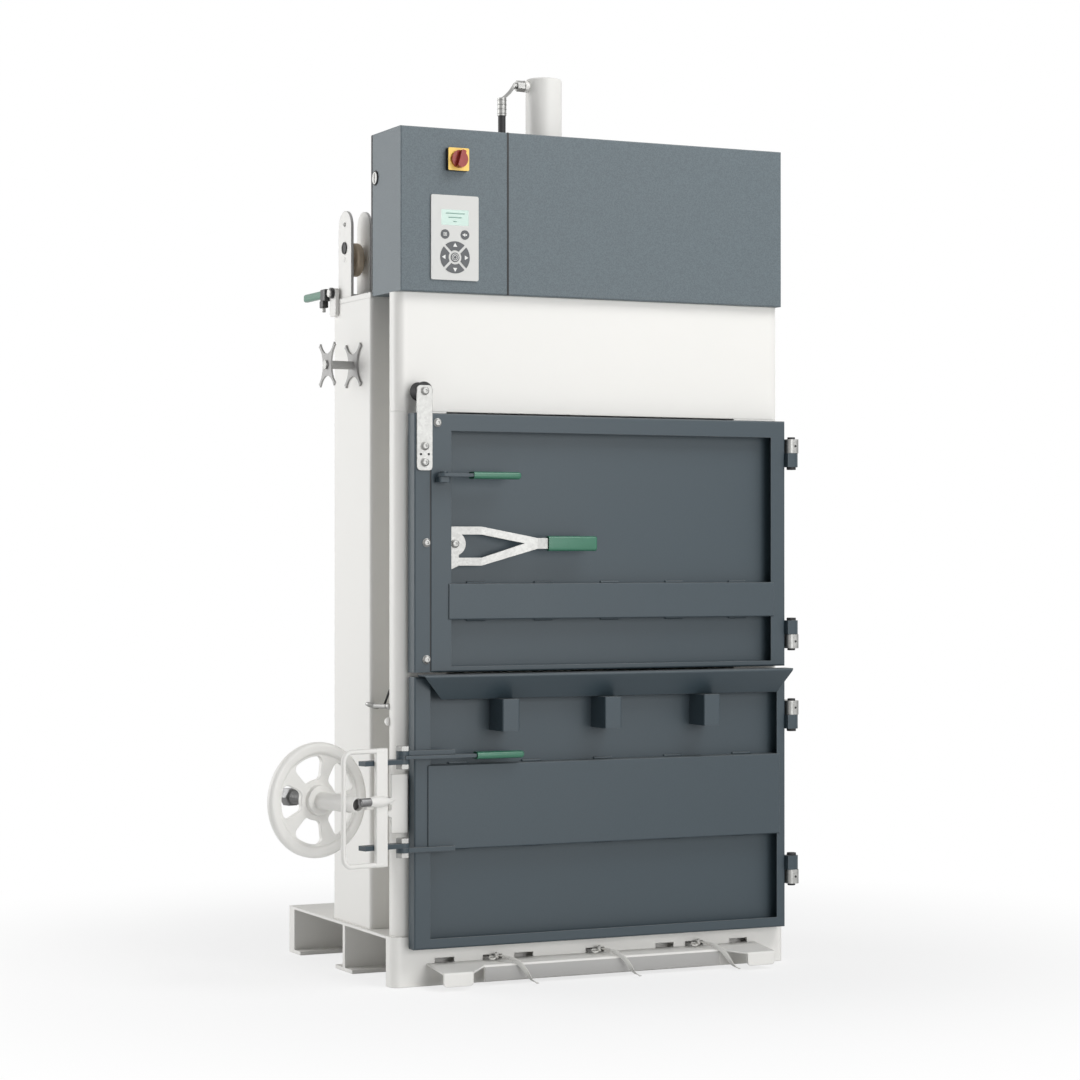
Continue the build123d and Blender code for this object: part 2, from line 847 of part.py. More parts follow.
def roller_bracket():
    """Folded fork: two upright plates with round heads on one foot."""
    x = bracket_x
    y = across(bracket_depth / 2, roller_y)
    head_z = cross_top + bracket_height - bracket_depth / 2
    part = span(x, y, (cross_top, cross_top + bracket_sheet))
    for low in (x[0], x[1] - bracket_sheet):
        side = (low, low + bracket_sheet)
        part += span(side, y, (cross_top, head_z))
        part += rod_x(bracket_depth, side, roller_y, head_z)
    return part - rod_x(roller_pin, (x[0] - cut, x[1] + cut), roller_y, roller_z)


def guide_roller():
    middle = (bracket_x[0] + bracket_x[1]) / 2
    half = roller_width / 2
    profile = Polyline([(middle - half, roller_y, roller_z + roller_pin / 2 + running),
                        (middle - half, roller_y, roller_z + roller / 2),
                        (middle, roller_y, roller_z + roller / 2 - roller_groove),
                        (middle + half, roller_y, roller_z + roller / 2),
                        (middle + half, roller_y, roller_z + roller_pin / 2 + running)], close=True)
    return revolve(make_face(profile), Axis((0, roller_y, roller_z), (1, 0, 0)))


def flange_bolts():
    offset = flange_bolt_pitch / 2
    corners = [(x, y) for x in (-offset, offset) for y in (-offset, offset)]
    head = hex_bar(flange_bolt * 3 / 2, flange_bolt_head)
    return [Pos(x, y, cross_top + flange_thick) * head for x, y in corners]


def frame_bolts():
    """Roller pin with an inner head, headed stud of the strap holder and the press flange's bolts."""
    x = bracket_x
    pin = rod_x(roller_pin, x, roller_y, roller_z)
    pin += rod_x(roller_head, (x[1], x[1] + roller_head_thick), roller_y, roller_z)
    tip = -post_half - fit - star_spacing - star_sheet - fit
    stud = rod_x(star_stud, (tip, -post_half), star_y, star_z)
    stud += rod_x(star_head, (tip - star_head_thick, tip), star_y, star_z)
    return group([pin, stud] + flange_bolts())


def star_point(angle, along, beside):
    """Point of the star, along and beside the direction of one tip."""
    turn = radians(angle)
    return (along * cos(turn) - beside * sin(turn), along * sin(turn) + beside * cos(turn))


def star_outline():
    """Star with hollow sides."""
    edges = []
    step = 360 / star_points
    for count in range(star_points):
        tip = step * (count + 1 / 2)
        first = star_point(tip, star_tip, -star_tip_half)
        last = star_point(tip, star_tip, star_tip_half)
        waist = star_point(tip + step / 2, star_waist, 0)
        onward = star_point(tip + step, star_tip, -star_tip_half)
        edges += [Line(first, last), ThreePointArc(last, waist, onward)]
    return make_face(edges)


def strap_star():
    inner = -post_half - fit
    outer = inner - star_spacing
    star = extrude(star_outline(), star_sheet)
    stars = [Pos(x - star_sheet, star_y, star_z) * Rot(0, 90, 0) * star for x in (inner, outer)]
    part = stars[0] + stars[1] + rod_x(star_tube, (outer - star_sheet, inner), star_y, star_z)
    return part - rod_x(star_stud + 2 * running, (outer - star_sheet - cut, inner + cut), star_y, star_z)


def ejector_bracket():
    x = (-post_half - ejector_plate, -post_half)
    y = (ejector_y - ejector_plate_depth / 2, ejector_y + ejector_plate_depth / 2)
    top = ejector_z + ejector_pin
    plate = rounded(span(x, y, (top - ejector_plate_height, top)), Axis.X, ejector_plate)
    bar_end = x[0] - fit - ejector_bar - fit
    pin = rod_x(ejector_pin, (bar_end, x[0]), ejector_y, ejector_z)
    head = rod_x(ejector_pin_head, (bar_end - ejector_plate / 2, bar_end), ejector_y, ejector_z)
    return plate + pin + head


def ejector_lever():
    right = -post_half - ejector_plate - fit
    x = (right - ejector_bar, right)
    z = across(ejector_bar_height / 2, ejector_z)
    bar = span(x, (ejector_y, ejector_y + ejector_bar_length), z)
    bar += rod_x(ejector_eye, x, ejector_y, ejector_z)
    return bar - rod_x(ejector_pin + 2 * running, inset(x, -cut), ejector_y, ejector_z)


def sleeve_grip(x, y, z, axis):
    """Dipped grip with soft edges along one axis."""
    return rounded(span(x, y, z), axis, grip_corner)


def ejector_grip():
    middle = -post_half - ejector_plate - fit - ejector_bar / 2
    low = ejector_y + ejector_bar_length
    height = ejector_bar_height / 2 + grip_wall
    return sleeve_grip(across(grip_thick / 2, middle), (low, low + ejector_grip_length),
                       across(height, ejector_z), Axis.Y)


# Doors and hinges

def upper_door_pan():
    """Folded pan with the catch lever's pivot block welded on its flange."""
    return folded_tray((pan_left, door_right), upper_z, upper_flanges) + catch_mount()


def lower_door_pan():
    return folded_tray((door_left, door_right), lower_z, lower_flanges)


def upper_lock_strip():
    """Angle bolted along the upper door's free edge."""
    x = (door_left, pan_left)
    block = span(x, (door_front, door_back), upper_z)
    block = fillet(block.edges().filter_by(Axis.Z).group_by(Axis.Y)[0].sort_by(Axis.X)[0], fold)
    return block - span((x[0] + thin_sheet, x[1] + cut), (door_front + thin_sheet, door_back + cut),
                        inset(upper_z, -cut))


def stiffener(mouth_x, z):
    """Hat section: a face on the door's flanges and two webs back to the door's sheet."""
    face_x = (mouth_x[0] - bar_overlap, mouth_x[1] + bar_overlap)
    part = span(face_x, (bar_front, door_front), z)
    part = fillet(part.edges().filter_by(Axis.X).group_by(Axis.Y)[0], hood_fold)
    web_y = (door_front, door_back - thin_sheet)
    middle = (mouth_x[0] + mouth_x[1]) / 2
    half = (mouth_x[1] - mouth_x[0]) / 2
    for web_z in ((z[0], z[0] + thin_sheet), (z[1] - thin_sheet, z[1])):
        part += span(inset(mouth_x, fit), web_y, web_z)
        for share in notch_shares:
            notch_x = across(notch_width / 2, middle + half * share)
            part -= span(notch_x, (web_y[1] - notch_depth, web_y[1] + cut), inset(web_z, -cut))
    return part


def upper_door_stiffener():
    return stiffener(tray_mouth((pan_left, door_right), upper_z, upper_flanges)[0], upper_bar_z)


def lower_door_stiffener():
    return stiffener(tray_mouth((door_left, door_right), lower_z, lower_flanges)[0], lower_bar_z)


def door_lip():
    """Flared lip with mitred ends and a top fold back to the door."""
    tip = door_front - lip_reach
    x = (door_left + lip_end_inset, door_right)
    over = inset(x, -cut)
    outer = prism_x([(door_front, lip_low), (tip, lip_high), (door_front, lip_high)], over)
    outer = fillet(outer.edges().filter_by(Axis.X).sort_by(Axis.Y)[0], fold)
    slope = lip_reach / lip_height
    low = lip_low + lip_sheet / slope
    high = lip_high - lip_sheet
    back = door_front + cut
    inner = [(back, low - cut / slope), (door_front - (high - low) * slope, high), (back, high)]
    sheet_fold = outer - prism_x(inner, inset(over, -cut))
    low_x = (x[0] + lip_left_mitre, x[1] - lip_right_mitre)
    ends = [(x[0], lip_high), (x[1], lip_high), (low_x[1], lip_low), (low_x[0], lip_low)]
    return sheet_fold & prism_y(ends, (tip - cut, back))


def box_bracket(x):
    """Folded box under the lip, open at its back and bottom."""
    y = (door_front - box_reach, door_back - thin_sheet)
    z = (lip_low - box_drop, lip_low)
    outer = front_rounded(span(across(box_width / 2, x), y, z), fold)
    inner_x = across(box_width / 2 - box_sheet, x)
    return outer - span(inner_x, (y[0] + box_sheet, y[1] + cut), (z[0] - cut, z[1] - box_sheet))


def lock_bracket(z):
    """Flat arm on the lower door that holds one of the lock's pivot bolts."""
    back = bar_front - fit
    y = (back - lock_bracket_thick, back)
    part = span((bolt_x, bolt_x + lock_bracket_length), y, z)
    part += span((door_left, door_left + lock_foot_width), (y[1], door_front), z)
    part += rod_z(lock_eye, bolt_x, bolt_y, z)
    return part - rod_z(lock_bolt, bolt_x, bolt_y, inset(z, -cut))


def lower_door_brackets():
    boxes = [box_bracket(box_middle + box_pitch * step) for step in (-1, 0, 1)]
    upper = lock_bracket((upper_stack, upper_stack + stack_plate))
    lower = lock_bracket((lower_stack - stack_plate, lower_stack))
    return group(boxes + [upper, lower])


def lock_bolts():
    upper_low = upper_stack - 2 * fit - lever_plate - stack_plate - fit
    bottom = upper_low - lock_bolt_head
    top = upper_stack + stack_plate
    head = hex_bar(lock_bolt_flats, lock_bolt_head)
    upper = rod_z(lock_bolt, bolt_x, bolt_y, (bottom, top))
    upper += Pos(bolt_x, bolt_y, top) * head + Pos(bolt_x, bolt_y, bottom) * head
    low = lower_stack - stack_plate
    high = lower_stack + fit + stack_plate + fit
    lower = rod_z(lock_bolt, bolt_x, bolt_y, (low, high))
    lower += Pos(bolt_x, bolt_y, high) * head + Pos(bolt_x, bolt_y, low - lock_bolt_head) * head
    return group([upper, lower])


def frame_leaf(z, pin_z, cap_low):
    """Hinge block on the post, with the pin that the door's lug turns on."""
    block = span(across(hinge_half, hinge_x), across(hinge_half, hinge_y), z)
    block = rounded(block, Axis.Z, hinge_round)
    block += span((post_half, hinge_x + hinge_half), (hinge_y, front_y + hinge_arm_back), z)
    block += rod_z(hinge_pin, hinge_x, hinge_y, pin_z)
    return block + rod_z(hinge_cap, hinge_x, hinge_y, (cap_low, cap_low + hinge_cap_thick))


def hinge_blocks():
    leaves = []
    reach = hinge_leaf + 2 * fit
    for high, low in (upper_hinge_splits, lower_hinge_splits):
        end = high - reach - hinge_cap_thick
        leaves.append(frame_leaf((high, high + hinge_leaf), (end, high), end))
        end = low + reach
        leaves.append(frame_leaf((low - hinge_leaf, low), (low, end + hinge_cap_thick), end))
    return group(leaves)


def door_lug(z):
    lug = span((door_right, hinge_x), across(hinge_half, hinge_y), z)
    lug += rod_z(2 * hinge_half, hinge_x, hinge_y, z)
    return lug - rod_z(hinge_pin + 2 * running, hinge_x, hinge_y, inset(z, -cut))


def door_lugs(splits):
    high, low = splits
    upper = door_lug((high - fit - hinge_leaf, high - fit))
    return group([upper, door_lug((low + fit, low + fit + hinge_leaf))])


# Upper door's fittings and levers

def interlock_plate():
    y = (door_front - interlock_sheet, door_front)
    plate = rounded(span(interlock_x, y, interlock_z), Axis.Y, interlock_corner)
    x = (interlock_x[0] + interlock_x[1]) / 2
    return plate - rod_y(interlock_pin, x, inset(y, -cut), interlock_z[1] - interlock_pin_drop)


def interlock_roller():
    """Waisted rubber roller behind the interlock plate."""
    x = (interlock_x[0] + interlock_x[1]) / 2
    z = interlock_z[1] - interlock_pin_drop
    y = (door_front + fit, door_front + fit + interlock_roller_length)
    rim = z + interlock_roller_size / 2
    inner = z + interlock_pin / 2 + running
    profile = Polyline([(x, y[1], inner), (x, y[0], inner), (x, y[0], rim),
                        (x, (y[0] + y[1]) / 2, rim - interlock_waist), (x, y[1], rim)], close=True)
    return revolve(make_face(profile), Axis((x, 0, z), (0, 1, 0)))


def round_bolt(x, z, back):
    return rod_y(bolt_head, x, (back - bolt_head_thick, back), z)


def lever_post(x, y, z, bar):
    """Pin with a head above a lever's eye."""
    top = z + bar + 2 * fit
    return rod_z(lever_pin, x, y, (z, top)) + rod_z(lever_pin_head, x, y, (top, top + lever_pin_head_thick))


def catch_mount():
    """Block on the door's flange with the catch lever's pivot pin."""
    low = catch_z - fit - catch_block_height
    block = span(across(catch_block / 2, catch_x), (catch_y - lever_pin, door_front), (low, catch_z - fit))
    return rounded(block, Axis.Z, grip_wall) + lever_post(catch_x, catch_y, catch_z - fit, catch_bar)


def fork_mount():
    """Boss on the door's sheet and the headed screw that the fork lever turns on."""
    skin = door_back - thin_sheet
    front = fork_y - fork_sheet / 2 - fit
    part = rod_y(fork_boss, fork_x, (fork_y + fork_sheet / 2 + fit, skin), fork_pivot_z)
    part += rod_y(lever_pin, fork_x, (front, skin), fork_pivot_z)
    return part + rod_y(lever_pin_head, fork_x, (front - lever_pin_head_thick, front), fork_pivot_z)


def upper_door_fittings():
    """Bolts of the lock strip and interlock plate, and the fork lever's pivot screw."""
    plate_face = door_front - interlock_sheet
    x = (interlock_x[0] + interlock_x[1]) / 2
    z = interlock_z[1] - interlock_pin_drop
    end = door_front + 2 * fit + interlock_roller_length
    axle = rod_y(interlock_pin, x, (plate_face, end), z) + round_bolt(x, z, plate_face)
    axle += rod_y(bolt_head, x, (end, end + bolt_head_thick), z)
    bolts = [round_bolt(x, interlock_z[0] + rise, plate_face) for rise in interlock_bolt_rises]
    for share in strip_bolt_shares:
        bolts.append(round_bolt(door_left + strip_bolt_in, upper_z[0] + upper_height * share, door_front))
    bolts.append(round_bolt(door_left + corner_bolt_in, upper_z[1] - corner_bolt_drop, door_front))
    return group([axle] + bolts + [fork_mount()])


def catch_lever():
    z = (catch_z, catch_z + catch_bar)
    front = catch_y - catch_eye / 2
    bar = span((catch_x, catch_x + catch_bar_length), (front, front + catch_bar_width), z)
    bar += rod_z(catch_eye, catch_x, catch_y, z)
    return bar - rod_z(lever_pin + 2 * running, catch_x, catch_y, inset(z, -cut))


def catch_grip():
    front = catch_y - catch_eye / 2
    low = catch_x + catch_bar_length
    z = inset((catch_z, catch_z + catch_bar), -grip_wall)
    y = inset((front, front + catch_bar_width), -grip_wall / 2)
    return sleeve_grip((low, low + catch_grip_length), y, z, Axis.X)


def fork_ends():
    """X of the fork's bend, of its neck and of its tip."""
    bend = fork_x + fork_straight
    neck = bend + fork_slope
    return bend, neck, neck + fork_neck


def fork_lever():
    """Zinc fork cut from flat bar and folded forward, with a round eye for its pivot screw."""
    bend, neck, tip = fork_ends()
    low, high = fork_z - fork_half, fork_z + fork_half
    left, right = fork_x - fork_left, fork_x + fork_right
    middle = fork_z + fork_tip_rise
    outline = [(left, low - fork_foot), (left, high), (bend, high), (neck, middle + fork_neck_half),
               (tip, middle + fork_neck_half), (tip, middle - fork_neck_half),
               (neck, middle - fork_neck_half), (bend, low), (right, low)]
    apex = neck - fork_arm - fork_neck_half
    gap = [(right, low + fork_arm), (right, high - fork_arm), (bend, high - fork_arm),
           (apex, middle), (bend, low + fork_arm)]
    half = fork_sheet / 2
    forward = fork_y - fork_forward
    deep = (forward - fork_sheet, fork_y + fork_sheet)
    flat = prism_y(outline, deep) - prism_y(gap, inset(deep, -cut))
    band = [(left - cut, fork_y - half), (bend, fork_y - half), (neck, forward - half), (tip + cut, forward - half),
            (tip + cut, forward + half), (neck, forward + half), (bend, fork_y + half), (left - cut, fork_y + half)]
    plate = flat & prism_z(band, (low - fork_foot - cut, high + cut))
    sheet_y = across(half, fork_y)
    plate += rod_y(fork_disc, fork_x, sheet_y, fork_pivot_z)
    return plate - rod_y(lever_pin + 2 * running, fork_x, inset(sheet_y, -cut), fork_pivot_z)


def fork_grip():
    tip = fork_ends()[2]
    y = fork_y - fork_forward
    z = across(fork_bar_half + grip_wall, fork_z + fork_tip_rise)
    return sleeve_grip((tip, tip + fork_grip_length), across(grip_thick / 2, y), z, Axis.X)


# Lower door's lock, drawn square to the door and then swung out about its bolts

def swung(part):
    return Pos(bolt_x, bolt_y, 0) * Rot(0, 0, lock_tilt) * part


def lock_arm(z):
    arm = span((-lock_arm_length, 0), across(lock_arm_width / 2), z)
    arm += rod_z(lock_eye, 0, 0, z)
    return swung(arm - rod_z(lock_bolt + 2 * running, 0, 0, inset(z, -cut)))


def lock_arms():
    upper_top_z = upper_stack - 2 * fit - lever_plate
    upper = lock_arm((upper_top_z - stack_plate, upper_top_z))
    lower = lock_arm((lower_stack + fit, lower_stack + fit + stack_plate))
    return group([upper, lower])


def yoke_boss(y):
    """Pointed boss, turned about a line along X on the yoke's front."""
    middle = (boss_x[0] + boss_x[1]) / 2
    ends = [(x, y, spindle_z) for x in boss_x]
    curve = Spline(ends[0], (middle, y, spindle_z + boss / 2), ends[1])
    face = make_face([curve, Line(ends[1], ends[0])])
    return revolve(face, Axis((0, y, spindle_z), (1, 0, 0)))


def lock_yoke():
    """Flat frame on the arms, with the spindle's collar on a link behind the right leg."""
    y = (arm_front_y - yoke_thick, arm_front_y)
    frame = rounded(span(yoke_x, y, yoke_z), Axis.Y, yoke_corner)
    window_x = (yoke_x[0] + yoke_left_leg, yoke_x[1] - yoke_right_leg)
    window = rounded(span(window_x, inset(y, -cut), inset(yoke_z, yoke_bar)), Axis.Y, yoke_corner / 2)
    collar_y = (arm_front_y, collar_back)
    part = frame - window + yoke_boss(y[0])
    part += span((spindle_x, yoke_x[1]), collar_y, across(collar_link / 2, spindle_z))
    part += rod_y(collar, spindle_x, collar_y, spindle_z)
    return swung(part - rod_y(spindle + 2 * running, spindle_x, inset(collar_y, -cut), spindle_z))


def lock_spindle():
    y = (arm_front_y - spindle_front, spindle_back)
    part = rod_y(spindle, spindle_x, y, spindle_z)
    nut = Pos(spindle_x, spindle_back - spindle_nut_length, spindle_z) * Rot(-90, 0, 0)
    return swung(part + nut * hex_bar(spindle_nut, spindle_nut_length))


def wheel_point(radius, angle):
    return (radius * cos(radians(angle)), radius * sin(radians(angle)))


def wheel_window():
    """Opening between two spokes, pointing along +X."""
    outer, inner = wheel_radius - wheel_rim - window_lap, window_inner
    half = window_angle / 2
    far = [wheel_point(outer, angle) for angle in (-half, half)]
    near = [wheel_point(inner, angle) for angle in (-half, half)]
    edges = [ThreePointArc(far[0], (outer, 0), far[1]), Line(far[1], near[1]),
             ThreePointArc(near[1], (inner, 0), near[0]), Line(near[0], far[0])]
    face = make_face(edges)
    return fillet(face.vertices(), window_round)


def handwheel():
    """Cast wheel with a thick rim, five rounded openings and a long hub sleeve."""
    rim = Circle(wheel_radius) - Circle(wheel_radius - wheel_rim)
    rim = extrude(rim, wheel_rim_thick / 2, both=True)
    rim = fillet(rim.edges().filter_by(GeomType.CIRCLE), wheel_rim_round)
    web = Circle(wheel_radius - wheel_rim / 2)
    for count in range(wheel_windows):
        web -= Rot(0, 0, 180 + count * 360 / wheel_windows) * wheel_window()
    wheel = rim + extrude(web, wheel_web / 2, both=True)
    wheel += Cylinder(wheel_hub / 2, wheel_hub_thick)
    wheel = Pos(spindle_x, wheel_back, spindle_z) * Rot(-90, 0, 0) * wheel
    sleeve_y = (collar_back + fit, wheel_back)
    wheel += rod_y(wheel_sleeve, spindle_x, sleeve_y, spindle_z)
    through = (sleeve_y[0] - cut, wheel_back + wheel_hub_thick)
    return swung(wheel - rod_y(spindle + 2 * running, spindle_x, through, spindle_z))


def lock_lever():
    top = upper_stack - fit
    z = (top - lever_plate, top)
    back = bar_front - fit
    y = (back - lock_lever_width, back)
    bar = span((bolt_x, bolt_x + lock_lever_length), y, z)
    bar += rod_z(lock_eye, bolt_x, bolt_y, z)
    return bar - rod_z(lock_bolt + 2 * running, bolt_x, bolt_y, inset(z, -cut))


def lock_grip():
    top = upper_stack - fit
    back = bar_front - fit
    low = bolt_x + lock_lever_length
    y = (back - lock_lever_width - grip_wall, back)
    return sleeve_grip((low, low + lock_grip_length), y, inset((top - lever_plate, top), -grip_wall), Axis.X)


def lock_keeper():
    """Plate on the left post that the lock closes against."""
    y = (front_y - keeper_thick, front_y)
    plate = span(keeper_x, y, keeper_z)
    for share in keeper_nub_shares:
        plate += rod_y(keeper_nub, keeper_x[0], y, keeper_z[0] + (keeper_z[1] - keeper_z[0]) * share)
    return plate


# Foot bar and strap tails

def bar_height(reach):
    """Level of the foot bar's sloping top at a distance in front of the beam."""
    return bar_level - bar_fall * reach


def bent_bar(x, reach):
    """Sloping plate with its front edge bent down, seen from the end as an L."""
    front = beam_front - reach
    top = bar_height(reach)
    outline = [(beam_front, bar_level), (front, top), (front, bar_foot), (front + bar_sheet, bar_foot),
               (front + bar_sheet, top - bar_sheet), (beam_front, bar_level - bar_sheet)]
    part = prism_x(outline, x)
    return fillet(part.edges().filter_by(Axis.X).group_by(Axis.Y)[0].sort_by(Axis.Z)[-1], fold)


def foot_bar():
    """Folded bar in front of the base, with a pedal-like tab at each end."""
    inner = bar_half - tab_width
    slant = inner - (tab_reach - bar_reach)
    tab = bent_bar((inner, bar_half), tab_reach)
    lowest = tab.edges().filter_by(Axis.Y).group_by(Axis.Z)[0]
    tab = fillet(lowest, tab_corner)
    tail = [(beam_front, bar_level), (beam_front - tab_reach, bar_height(tab_reach)),
            (beam_front - tab_reach, bar_height(tab_reach) - bar_sheet), (beam_front, bar_level - bar_sheet)]
    corner = [(slant, beam_front), (inner, beam_front), (inner, beam_front - tab_reach),
              (slant, beam_front - bar_reach)]
    gusset = prism_x(tail, (slant, inner)) & prism_z(corner, (0, bar_level))
    part = bent_bar(across(slant), bar_reach) + tab + gusset
    return part + mirror(tab + gusset, about=Plane.YZ)


def strap_tail(x):
    """Round stand-in for a flat strap, along straight runs joined by wide arcs."""
    points = [Vector(x + beside, beam_front + behind, z) for beside, behind, z in strap_route]
    radii = []
    for before, here, after in zip(points, points[1:], points[2:]):
        run = min((here - before).length, (after - here).length)
        turn = radians((here - before).get_angle(after - here))
        radii.append(strap_bend_share * run / (sin(turn / 2) / cos(turn / 2)))
    route = FilletPolyline(*points, radius=radii)
    section = Plane(points[0], z_dir=(points[1] - points[0])) * Circle(strap_tube / 2)
    return sweep(section, path=route)


def all_parts():
    """Every piece by its name."""
    parts = {make.__name__: make() for make in (
        base_front_beam, base_frame, front_posts, header, side_columns, chamber_walls, chamber_floor,
        top_crossbeam, control_cabinet, hydraulic_cover, hood_lock, switch_base, switch_plate, switch_knob,
        control_panel, panel_display, panel_keys, press_barrel, piston_rod, platen,
        hose_fitting, pressure_hose, oil_tank, pump_motor, roller_bracket, guide_roller, frame_bolts,
        strap_star, ejector_bracket, ejector_lever, ejector_grip, upper_door_pan, upper_lock_strip,
        upper_door_stiffener, lower_door_pan, lower_door_stiffener, door_lip, lower_door_brackets,
        lock_bolts, hinge_blocks, interlock_plate, interlock_roller, upper_door_fittings, catch_lever,
        catch_grip, fork_lever, fork_grip, lock_arms, lock_yoke, lock_spindle, handwheel, lock_lever, lock_grip,
        lock_keeper, foot_bar)}
    parts["upper_hinge_lugs"] = door_lugs(upper_hinge_splits)
    parts["lower_hinge_lugs"] = door_lugs(lower_hinge_splits)
    for name, x in zip(strap_names, (-strap_x, 0, strap_x)):
        parts[name] = strap_tail(x)
    return parts


os.makedirs("parts", exist_ok=True)
for name, shape in all_parts().items():
    export_step(shape, f"parts/{name}.step")
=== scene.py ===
"""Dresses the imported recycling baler: finishes on every solid, small pieces that the solids leave out, and a stage."""
import json
import math

import bpy
from bpy.props import FloatProperty, FloatVectorProperty, IntProperty, PointerProperty
from bpy.types import NodeSocket, Operator, Panel, PropertyGroup
from mathutils import Matrix, Vector

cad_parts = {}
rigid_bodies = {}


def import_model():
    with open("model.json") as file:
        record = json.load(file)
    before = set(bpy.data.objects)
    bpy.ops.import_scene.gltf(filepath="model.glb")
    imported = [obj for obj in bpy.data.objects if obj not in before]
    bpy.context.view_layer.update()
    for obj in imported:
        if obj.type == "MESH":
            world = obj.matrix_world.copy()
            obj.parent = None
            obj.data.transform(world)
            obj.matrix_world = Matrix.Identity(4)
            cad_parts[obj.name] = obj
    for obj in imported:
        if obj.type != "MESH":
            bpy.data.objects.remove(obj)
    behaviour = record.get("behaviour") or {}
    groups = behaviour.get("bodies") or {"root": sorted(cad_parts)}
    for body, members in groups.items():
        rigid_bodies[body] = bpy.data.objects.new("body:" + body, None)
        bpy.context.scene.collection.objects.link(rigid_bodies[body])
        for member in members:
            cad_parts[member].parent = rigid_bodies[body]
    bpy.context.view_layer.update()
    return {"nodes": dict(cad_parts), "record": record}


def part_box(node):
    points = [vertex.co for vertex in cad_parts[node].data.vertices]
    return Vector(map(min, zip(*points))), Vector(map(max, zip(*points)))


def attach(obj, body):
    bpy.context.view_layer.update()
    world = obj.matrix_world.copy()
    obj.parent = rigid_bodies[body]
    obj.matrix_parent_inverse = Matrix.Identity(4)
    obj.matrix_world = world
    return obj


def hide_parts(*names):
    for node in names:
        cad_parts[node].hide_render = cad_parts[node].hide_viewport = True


bl_info = {
    "name": "Recycling baler",
    "version": (1, 0, 0),
    "blender": (4, 5, 0),
    "location": "View3D > Sidebar > Baler",
    "description": "Finishes, fittings and studio stage of a vertical recycling baler",
    "category": "Object",
}

for leftover in list(bpy.data.objects):
    bpy.data.objects.remove(leftover)
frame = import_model()

X, Y, Z = Vector((1, 0, 0)), Vector((0, 1, 0)), Vector((0, 0, 1))


def length(name, description, default):
    return FloatProperty(name=name, description=description, default=default, min=0, unit="LENGTH", precision=4)


def colour(name, description, default):
    return FloatVectorProperty(name=name, description=description, default=default, subtype="COLOR",
                               size=3, min=0, max=1)


class BalerSizes(PropertyGroup):
    """Sizes of the pieces that the scene adds to the solids."""
    strap_width: length("Strap width", "Width of the woven tying strap", 0.0105)
    strap_thick: length("Strap thickness", "Thickness of the woven tying strap", 0.0016)
    screw_head: length("Screw head", "Diameter of the flanged button heads on the upper door", 0.0185)
    screw_rise: length("Screw rise", "Height of those heads over their sheet", 0.0062)
    socket: length("Socket", "Width across corners of the key socket in a screw", 0.0064)
    bead: length("Weld bead", "Leg of a painted fillet weld", 0.004)
    ripple: length("Weld ripple", "Distance between the ripples of a weld", 0.004)
    seal: length("Edge seal", "Width of the rubber seal on the hood's rear edge", 0.007)
    seam: length("Seam", "Width of the dark joint between two sheets", 0.0024)
    mark: length("Print", "Thickness of the print on keys and display", 0.00025)
    pitch: length("Thread pitch", "Pitch of the lock spindle's thread", 0.006)
    thread: length("Thread depth", "Depth of the lock spindle's thread", 0.0018)
    cap: length("Hinge cap", "Diameter of the black caps on the hinge pins", 0.0208)
    crimps: IntProperty(name="Crimps", description="Pressed rings on the hose ferrule", default=4, min=1, max=8)


class BalerColours(PropertyGroup):
    """Colours of the finishes."""
    frame_white: colour("Frame white", "Powder coat of frame, wheel and yoke", (0.80, 0.79, 0.76))
    hood_grey: colour("Hood grey", "Structured powder coat of the hood", (0.108, 0.139, 0.156))
    door_grey: colour("Door grey", "Powder coat of both doors", (0.034, 0.053, 0.066))
    black: colour("Black", "Black coat of the ejector and pin caps", (0.012, 0.012, 0.013))
    zinc: colour("Zinc", "Bright zinc plating", (0.35, 0.35, 0.34))
    steel: colour("Dark steel", "Oiled steel of the lock's spindle", (0.2, 0.2, 0.2))
    chrome: colour("Chrome", "Hard chrome of the piston rod", (0.8, 0.81, 0.82))
    grip_green: colour("Grip green", "Dipped vinyl grips", (0.02, 0.14, 0.08))
    rubber: colour("Rubber", "Hose, seals and buffer", (0.014, 0.014, 0.015))
    tan: colour("Tan", "Cast nylon of the guide roller", (0.85, 0.7, 0.53))
    yellow: colour("Switch yellow", "Plate of the main switch", (0.9, 0.6, 0.12))
    red: colour("Switch red", "Knob of the main switch", (0.27, 0.013, 0.007))
    foil: colour("Panel foil", "Printed foil of the control panel", (0.62, 0.62, 0.6))
    display: colour("Display", "Display's background", (0.42, 0.58, 0.51))
    key: colour("Keys", "Keys of the panel", (0.085, 0.09, 0.095))
    motor: colour("Motor grey", "Paint of tank and motor", (0.16, 0.17, 0.18))
    strap: colour("Strap", "Woven tying strap", (0.86, 0.85, 0.81))
    # Step grey is painted shade on the foot bar's front; the strap star wears it as its own grey.
    step: colour("Step grey", "Grey face of the foot bar", (0.40, 0.395, 0.385))
    key_print: colour("Key print", "Print on the panel's keys", (0.78, 0.78, 0.76))
    line_print: colour("Display print", "Lines on the display", (0.2, 0.33, 0.28))


def sizes():
    return bpy.context.scene.baler_sizes


def colours():
    return bpy.context.scene.baler_colours


# Modelling

def put_down():
    """Back to object mode with nothing selected."""
    if bpy.context.mode != "OBJECT":
        bpy.ops.object.mode_set(mode="OBJECT")
    bpy.ops.object.select_all(action="DESELECT")


def take(piece):
    put_down()
    piece.select_set(True)
    bpy.context.view_layer.objects.active = piece
    return piece


def settle(name):
    """Names the new primitive and moves its place into its mesh."""
    piece = bpy.context.object
    piece.name = piece.data.name = name
    bpy.ops.object.transform_apply(location=True, rotation=True, scale=True)
    return piece


def block(name, low, high):
    put_down()
    low, high = Vector(low), Vector(high)
    bpy.ops.mesh.primitive_cube_add(size=1, location=(low + high) / 2)
    bpy.context.object.scale = high - low
    return settle(name)


